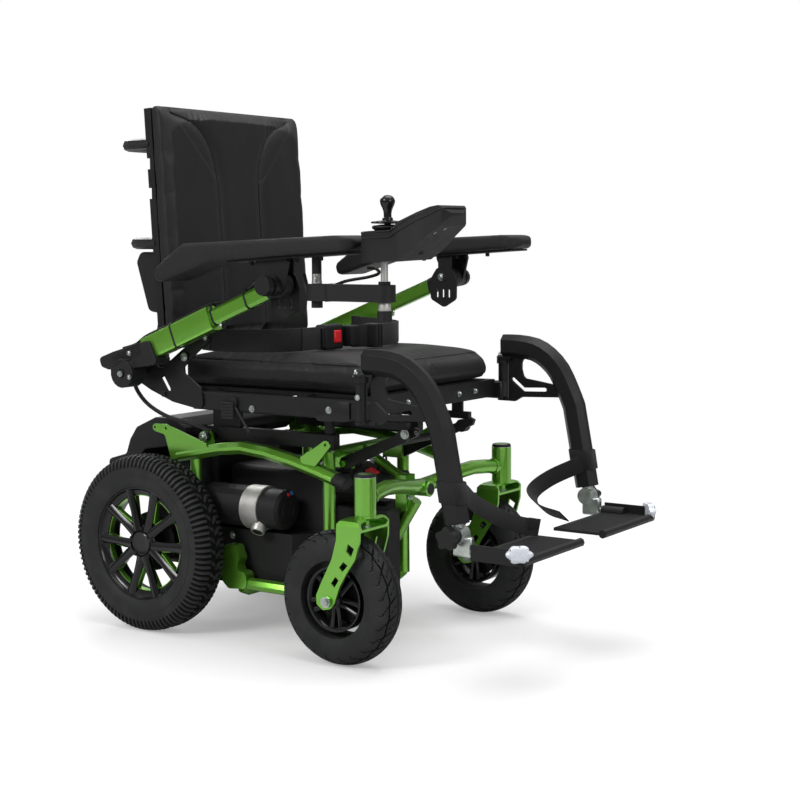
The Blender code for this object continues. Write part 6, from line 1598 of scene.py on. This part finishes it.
ARM_HUB = (-0.032, 0.7205)
ARM_ALONG = (0, 0.377, -0.148)
for number, y in enumerate((0.229, 0.1290, 0.045)):
    place = (-0.294, y, ARM_HUB[1] - 0.3926 * (y - ARM_HUB[0]))
    strap_round(f"arm_tie_{number}", ("arm_tube_right", "cable_arm"), place, ARM_ALONG, (1, 0, 0),
                black_plastic, "arm_right")
strap_round("link_tie", ("joystick_link", "cable_joystick"), (-0.292, -0.150, 0.712), (0, -1, 0.06),
            (1, 0, 0),
            black_plastic, "joystick_link", 0.0036)
print("cables and ties")

# %% [markdown]
# ## Screws, bolts and washers
#
# Every fastener is one of six small kinds: button, hexagon head with its washer, acorn nut, plain
# washer, boss and flush socket. A table says where each sits and which way it faces; a pattern sets
# them out, one piece for each kind and size on each body.


# %% Fasteners
STUD_PROFILES = {
    "button": ((-0.0010, 0.0), (-0.0010, 1.45), (0.0006, 1.45), (0.0007, 1.02), (0.0018, 0.98),
               (0.0030, 0.72),
               (0.0034, 0.46), (0.0034, 0.40), (0.0018, 0.36), (0.0018, 0.0)),
    "acorn": ((-0.0010, 0.0), (-0.0010, 1.50), (0.0008, 1.50), (0.0010, 1.08), (0.0060, 1.08), (0.0068, 0.86),
              (0.0092, 0.82), (0.0116, 0.58), (0.0126, 0.0)),
    "washer": ((-0.0008, 0.0), (-0.0008, 0.92), (-0.0002, 1.0), (0.0008, 1.0), (0.0014, 0.92), (0.0014, 0.62),
               (0.0004, 0.58), (0.0004, 0.0)),
    "boss": ((-0.0020, 0.0), (-0.0020, 1.0), (0.0066, 0.94), (0.0074, 0.80), (0.0074, 0.42), (0.0052, 0.40),
             (0.0052, 0.0)),
    "socket": ((-0.0004, 0.0), (-0.0004, 1.0), (0.0003, 1.0), (0.0003, 0.72), (-0.0002, 0.66),
               (-0.0002, 0.0)),
}
HEX_WASHER = ((-0.0010, 0.0), (-0.0010, 1.45), (0.0008, 1.45), (0.0008, 0.0))
HEX_HEAD = ((0.0006, 0.0), (0.0006, 1.02), (0.0040, 1.02), (0.0048, 0.88), (0.0048, 0.5), (0.0058, 0.46),
            (0.0058, 0.0))


def fastener(kind, radius):
    """A kind of fastener at a radius; a hexagon head comes with its own washer."""
    def scaled(profile, segments):
        return stud("stud", [(h, r * radius) for h, r in profile], segments)

    if kind == "hex":
        return merge("bolt", [scaled(HEX_WASHER, 24), scaled(HEX_HEAD, 6)])
    return scaled(STUD_PROFILES[kind], 20)


RIGHT, FRONT, UNDER_ARM, UNDER_BOX = (-1, 0, 0), (0, -1, 0), (0, -0.365, -0.931), (0, -0.57, -0.82)
FASTENERS = [
    # body, kind, radius, node, point, facing and, where it isn't zinc, the finish
    ("arm_right", "button", 0.0040, "arm_cap_right", (-0.3165, 0.3392, 0.5810), RIGHT),
    ("seat", "hex", 0.0042, "side_plate_right", (-0.3260, 0.3560, 0.5388), RIGHT),
    ("arm_right", "button", 0.0036, "arm_cap_right", (-0.3240, 0.3334, 0.5336), RIGHT),
    ("seat", "hex", 0.0060, "side_plate_right", (-0.2639, 0.2405, 0.5732), RIGHT),
    ("seat", "hex", 0.0036, "side_plate_right", (-0.2639, 0.1842, 0.6129), RIGHT),
    ("arm_left", "hex", 0.0036, "arm_tube_left", (0.2930, 0.1197, 0.6440), UNDER_ARM),
    ("arm_left", "hex", 0.0036, "arm_tube_left", (0.2930, 0.1750, 0.6223), UNDER_ARM),
    ("arm_right", "hex", 0.0036, "arm_tube_right", (-0.2930, 0.1197, 0.6440), UNDER_ARM),
    ("pad_left", "button", 0.0056, "pad_bracket_left", (0.2715, -0.0232, 0.7221), RIGHT),
    ("pad_right", "button", 0.0056, "pad_bracket_right", (-0.2715, -0.0232, 0.7221), (1, 0, 0)),
    ("joystick_box", "socket", 0.0028, "joystick_box", (-0.3247, -0.3988, 0.8159), UNDER_BOX),
    ("joystick_box", "socket", 0.0028, "joystick_box", (-0.3080, -0.4085, 0.8227), UNDER_BOX),
    ("joystick_box", "socket", 0.0022, "joystick_box", (-0.3180, -0.3915, 0.8110), UNDER_BOX, rubber),
    ("joystick_box", "washer", 0.0050, "joystick_box", (-0.3020, -0.3544, 0.7812), UNDER_BOX, black_plastic),
    ("seat", "hex", 0.0046, "seat_frame", (-0.2550, 0.0745, 0.4775), RIGHT),
    ("seat", "washer", 0.0110, "seat_frame", (-0.1840, 0.2658, 0.4020), RIGHT),
    ("seat", "button", 0.0050, "seat_frame", (-0.1855, 0.2658, 0.4020), RIGHT),
    ("seat", "hex", 0.0042, "seat_frame", (0.0927, -0.1820, 0.4898), FRONT),
    ("seat", "hex", 0.0042, "seat_frame", (0.1546, -0.1820, 0.4906), FRONT),
    ("seat", "hex", 0.0042, "seat_frame", (-0.0927, -0.1820, 0.4898), FRONT),
    ("seat", "hex", 0.0042, "seat_frame", (-0.1546, -0.1820, 0.4906), FRONT),
    ("seat", "socket", 0.0030, "seat_frame", (-0.2550, 0.1720, 0.4800), RIGHT, rubber),
    ("seat", "socket", 0.0030, "seat_frame", (-0.2550, 0.1512, 0.4800), RIGHT, rubber),
    ("tilt_lever", "hex", 0.0064, "tilt_lever", (-0.1144, -0.1900, 0.4300), RIGHT),
    ("tilt_lever", "socket", 0.0034, "tilt_lever", (-0.1045, -0.2085, 0.4327), RIGHT),
    ("base", "hex", 0.0046, "base_frame", (-0.0099, -0.0383, 0.3557), RIGHT),
    ("base", "hex", 0.0040, "base_frame", (-0.0890, -0.0083, 0.3591), RIGHT),
    ("base", "hex", 0.0044, "base_frame", (-0.0072, -0.1273, 0.2846), RIGHT),
    ("base", "button", 0.0050, "battery_box", (-0.1550, 0.2147, 0.1983), RIGHT),
    ("base", "button", 0.0042, "battery_box", (-0.1550, 0.2516, 0.1291), RIGHT),
]
for word, side in SIDES:
    fork, hanger = f"caster_fork_{word}", f"hanger_{word}"
    FASTENERS += [
        (f"caster_{word}", "hex", 0.0074, fork, (side * 0.3010, -0.134, 0.130), (side, 0, 0)),
        (f"caster_{word}", "hex", 0.0074, fork, (side * 0.1960, -0.134, 0.130), (-side, 0, 0)),
        (hanger, "acorn", 0.0046, None, (side * 0.2600, -0.1800, 0.5535), (0, 0, 1)),
        ("seat", "acorn", 0.0042, "seat_frame", (side * 0.2570, -0.1900, 0.4500), (0, 0, -1)),
        (hanger, "button", 0.0038, hanger, (side * 0.2700, -0.1900, 0.5150), (side, 0, 0)),
    ]
    FASTENERS += [(f"pad_{word}", "boss", 0.0046, f"pad_bracket_{word}", (side * 0.294, y, 0.760), (0, 0, -1),
                   black_plastic) for y in (0.036, -0.002, -0.049, -0.074, -0.128)]
grouped = {}
for body, kind, radius, node, point, facing, *finish in FASTENERS:
    key = (body, kind, radius, finish[0] if finish else zinc)
    grouped.setdefault(key, []).append((seated(node, point, facing), Vector(facing).normalized()))
for number, ((body, kind, radius, finish), places) in enumerate(grouped.items()):
    keep(pattern(f"{kind}_{number}_{body}", STUDS, fastener(kind, radius), finish, places), body)
print(len(FASTENERS), "fasteners in", len(grouped), "pieces")

# %% [markdown]
# ## Drives, head tubes and end plugs
#
# Each motor is a black cylinder with a cast aluminium band, whose round port stands out at the low
# front side. The head tubes are closed by black caps over a bright washer, and the beams' front ends
# by black plugs.


# %% Motors and caps
def slice_of(node, point, normal, swell, name, body, hub=None):
    """The part of a solid beyond a plane, a little larger than it: a plug, cap or sleeve over an end.

    Round a hub, (y, z), it stays thin towards the neighbour and out of the bore.
    """
    bm = welded(node)
    bmesh.ops.bisect_plane(bm, geom=bm.verts[:] + bm.edges[:] + bm.faces[:], dist=1e-6,
                           plane_co=Vector(point),
                           plane_no=Vector(normal), clear_inner=True)
    bmesh.ops.holes_fill(bm, edges=[e for e in bm.edges if e.is_boundary], sides=0)
    bmesh.ops.recalc_face_normals(bm, faces=bm.faces)
    bm.normal_update()
    moves = [(v, v.normal.copy()) for v in bm.verts]
    for v, out in moves:
        reach = math.hypot(v.co.y - hub[0], v.co.z - hub[1]) if hub else 1.0
        sideways, flat = 0.3 if reach < HUB_THIN else 1.0, out.yz if reach > HUB_BORE else (0, 0)
        v.co += Vector((out.x * sideways, *flat)) * swell
    sharp = [e for e in bm.edges if len(e.link_faces) == 2 and e.calc_face_angle(0) > 0.7]
    bmesh.ops.bevel(bm, geom=sharp, offset=0.0012, segments=2, profile=0.5, affect="EDGES",
                    clamp_overlap=True)
    return keep(finished(name, bm, black_plastic, 40), body)


HUB_THIN, HUB_BORE = 0.024, 0.012
MOTOR_Z, PIVOT_Z = 0.262, 0.306
MOTOR_BAND = ((0.1215, 0.0), (0.1215, 0.0440), (0.1230, 0.0456), (0.1630, 0.0456), (0.1650, 0.0440),
              (0.1650, 0.0))
MOTOR_FACE = ((0.0712, 0.0), (0.0712, 0.0160), (0.0700, 0.0170), (0.0700, 0.0190), (0.0716, 0.0200),
              (0.0722, 0.0270), (0.0722, 0.0))
MOTOR_PORT = ((0.0330, 0.0), (0.0330, 0.0148), (0.0545, 0.0148), (0.0562, 0.0140), (0.0570, 0.0124),
              (0.0564, 0.0112), (0.0564, 0.0))
PORT_CAP = ((0.0500, 0.0), (0.0500, 0.0108), (0.0568, 0.0108), (0.0566, 0.0090), (0.0566, 0.0))
MOTOR_BUTTON = ((-0.004, 0.0), (-0.004, 0.0045), (0.0018, 0.0045), (0.0026, 0.0036), (0.0026, 0.0))
HEAD_WASHER = ((0.3636, 0.0), (0.3636, 0.0204), (0.3650, 0.0206), (0.3650, 0.0))
HEAD_CAP = ((0.3648, 0.0), (0.3648, 0.0199), (0.3672, 0.0202), (0.3700, 0.0190), (0.3708, 0.0172),
            (0.3700, 0.0120), (0.3700, 0.0))
FORK_STEM = ((0.2660, 0.0), (0.2660, 0.0098), (0.2676, 0.0110), (0.2740, 0.0110), (0.2742, 0.0075),
             (0.2860, 0.0075), (0.2860, 0.0))
BOSS_RING = ((-0.1728, 0.0), (-0.1728, 0.0150), (-0.1716, 0.0160), (-0.1690, 0.0160), (-0.1690, 0.0))
BOSS_PLUG = ((-0.1742, 0.0), (-0.1742, 0.0040), (-0.1750, 0.0050), (-0.1750, 0.0100), (-0.1736, 0.0118),
             (-0.1700, 0.0118), (-0.1700, 0.0))
blue_plastic = Finish("blue plastic", (0.012, 0.110, 0.300), 0.35)

for word, side in SIDES:
    axis_x = side * 0.150
    motor_axis = (axis_x, 0, MOTOR_Z)
    turned(f"motor_band_{word}", motor_axis, MOTOR_BAND, bare_metal, "base", "Y", 64)
    turned(f"motor_face_{word}", motor_axis, MOTOR_FACE, black_plastic, "base", "Y", 48)
    port_out = Vector((side * 0.62, -0.10, -0.78)).normalized()
    turn = Vector((0, 0, 1)).rotation_difference(port_out).to_matrix().to_4x4()
    port_place = Matrix.Translation(Vector((axis_x, 0.1300, MOTOR_Z))) @ turn
    for name, profile, segments, finish in (
            ("motor_port", MOTOR_PORT, 32, bare_metal), ("motor_port_cap", PORT_CAP, 24, black_plastic)):
        bm = bmesh.new()
        lathe(bm, profile, (0, 0, 0), "Z", segments)
        bmesh.ops.transform(bm, matrix=port_place, verts=bm.verts)
        keep(finished(f"{name}_{word}", bm, finish, 34), "base")
    for label, finish, spot in (("blue", blue_plastic, (0.0128, 0.0375)),
                                ("red", red_plastic, (0.0010, 0.0360))):
        place = Vector((axis_x + side * -spot[0], 0.0735, MOTOR_Z + spot[1] * 0.88))
        button = stud("button", MOTOR_BUTTON, 18)
        keep(pattern(f"motor_{label}_{word}", STUDS, button, finish, [(place, Vector((0, -0.80, 0.60)))]),
             "base")
    head, caster = (side * 0.248, -0.190, 0), f"caster_{word}"
    turned(f"head_washer_{word}", head, HEAD_WASHER, zinc, caster, "Z", 40)
    turned(f"head_cap_{word}", head, HEAD_CAP, black_plastic, caster, "Z", 40)
    turned(f"fork_stem_{word}", head, FORK_STEM, zinc, caster, "Z", 24)
    slice_of(f"arch_beam_{word}", (0, -0.0740, 0.330), (0, -0.94, -0.34), 0.0006, f"beam_plug_{word}", "base")
turned("axle_boss_ring", (0, 0, PIVOT_Z), BOSS_RING, green, "front_axle", "Y", 40)
turned("axle_boss_plug", (0, 0, PIVOT_Z), BOSS_PLUG, black_plastic, "front_axle", "Y", 40)
print("drives and caps")

# %% [markdown]
# ## Footplates, reflectors and latch
#
# Both footplates carry fine ribs on top and a white lobed reflector at the outer front corner. Below
# the rail, on the right, a ribbed latch holds the seat lever, and a small triangular bracket is bolted
# in front of it.

# %% Footplates and latch
RIB_SECTION = ((-0.0010, -0.0006), (0.0010, -0.0006), (0.0008, 0.0003), (0.0003, 0.0006), (-0.0003, 0.0006),
               (-0.0008, 0.0003))
RIB_START, RIB_LENGTH, RIB_COUNT, RIB_STEP = 0.0500, 0.2040, 17, 0.0052
# The reflector's rings, from its back to its raised lens: how far forward, and what share of the outline.
LENS = ((-0.0060, 0.94), (0.0048, 1.0), (0.0066, 0.96), (0.0080, 0.86), (0.0088, 0.72), (0.0092, 0.50))
BRACKET = ((-0.163, 0.5030), (-0.136, 0.5030), (-0.088, 0.4790), (-0.083, 0.4720), (-0.087, 0.4655),
           (-0.096, 0.4640), (-0.163, 0.4670))


def lobed_outline(around=48):
    outline = []
    for k in range(around):
        a = TURN * k / around
        lobes = 1.0 + 0.075 * math.cos(6 * a)
        outline.append((0.0232 * lobes * math.cos(a), 0.0158 * lobes * math.sin(a)))
    return outline


for word, side in SIDES:
    bm = bmesh.new()
    sweep(bm, [Vector((side * x, 0, 0)) for x in (RIB_START, RIB_START + RIB_LENGTH)], RIB_SECTION)
    rib = finished("rib", bm, black_plastic, 50)
    keep(pattern(f"footplate_ribs_{word}", ROW, rib, black_plastic, Count=RIB_COUNT,
                 First=(0, -0.5260, 0.2468),
                 Step=(0, RIB_STEP, 0)), f"footplate_{word}")
    bm = bmesh.new()
    turn = Matrix.Rotation(side * math.radians(48), 4, "Z")
    place = Matrix.Translation((side * 0.2600, -0.5288, 0.2565)) @ turn
    loft(bm, [[bm.verts.new(place @ Vector((x * share, -forward, z * share))) for x, z in lobed_outline()]
              for forward, share in LENS])
    keep(finished(f"reflector_{word}", bm, reflector, 40), f"footplate_{word}")
slots = [((-0.2690, 0.1120, 0.4600 + 0.0058 * k), (-0.2655, 0.1470, 0.4622 + 0.0058 * k)) for k in range(5)]
keep(moulding("seat_latch", (-0.2672, 0.1140, 0.4555), (-0.2562, 0.1445, 0.4895), 0.0028, black_plastic,
              slots, 3), "seat_lever")
bm = bmesh.new()
loft(bm, [[bm.verts.new((x, y, z)) for y, z in BRACKET] for x in (-0.2588, -0.2553)])
bmesh.ops.recalc_face_normals(bm, faces=bm.faces)
bmesh.ops.bevel(bm, geom=bm.edges[:], offset=0.0008, segments=2, profile=0.5, affect="EDGES")
keep(finished("rail_bracket", bm, black_paint, 30), "seat")
keep(pattern("rail_bracket_bolt", STUDS, fastener("hex", 0.0046), zinc,
             [(Vector((-0.2588, -0.1154, 0.4864)), Vector(RIGHT))]), "seat")
print("footplates and latch")

# %% [markdown]
# ## Arm ends and welds
#
# The arm tubes end in black sockets at the pads and in black caps at the rear, which carry lengthwise
# ribs. Where the axle's tubes meet their head tubes, each joint has its weld bead.

# %% Arm ends and welds
CAP_MIDDLE = Vector((0, 0.345, 0.5725))
ALONG_CAP, ACROSS_CAP = Vector(ARM_ALONG).normalized(), Vector((0, 0.148, 0.377)).normalized()


def cap_ribs(name, side, tree):
    """Six lengthwise ribs, laid where rays from the side meet the cap's flank."""
    bm = bmesh.new()
    for k in range(6):
        line = []
        for step in range(19):
            along, across = ALONG_CAP * (-0.040 + 0.0045 * step), ACROSS_CAP * (-0.006 + 0.0042 * k)
            middle = CAP_MIDDLE + along + across
            hit, normal, _, _ = tree.ray_cast(Vector((side * 0.40, middle.y, middle.z)),
                                              Vector((-side, 0, 0)))
            if hit is not None and abs(normal.x) > 0.6:
                line.append(hit + Vector((side * 0.0004, 0, 0)))
        if len(line) > 4:
            sweep(bm, line, circle_section(0.0009, PIPING_SIDES))
    return finished(name, bm, black_plastic, 60)


for word, side in SIDES:
    start = -0.0060 if word == "right" else 0.0200
    tube, socket = f"arm_tube_{word}", f"arm_socket_{word}"
    slice_of(tube, (0, start, 0.7150), (0, -1, 0.20), 0.0011, socket, f"arm_{word}", ARM_HUB)
    keep(cap_ribs(f"arm_cap_ribs_{word}", side, solid_tree(f"arm_cap_{word}")), f"arm_{word}")
    strap_round(f"axle_weld_{word}", ("front_axle",), (side * 0.2215, -0.1865, 0.3240),
                (side * 0.084, -0.014, -0.007),
                (0, 1, 0), green, "front_axle", 0.0060, 0.0016)
print("arm ends and welds")
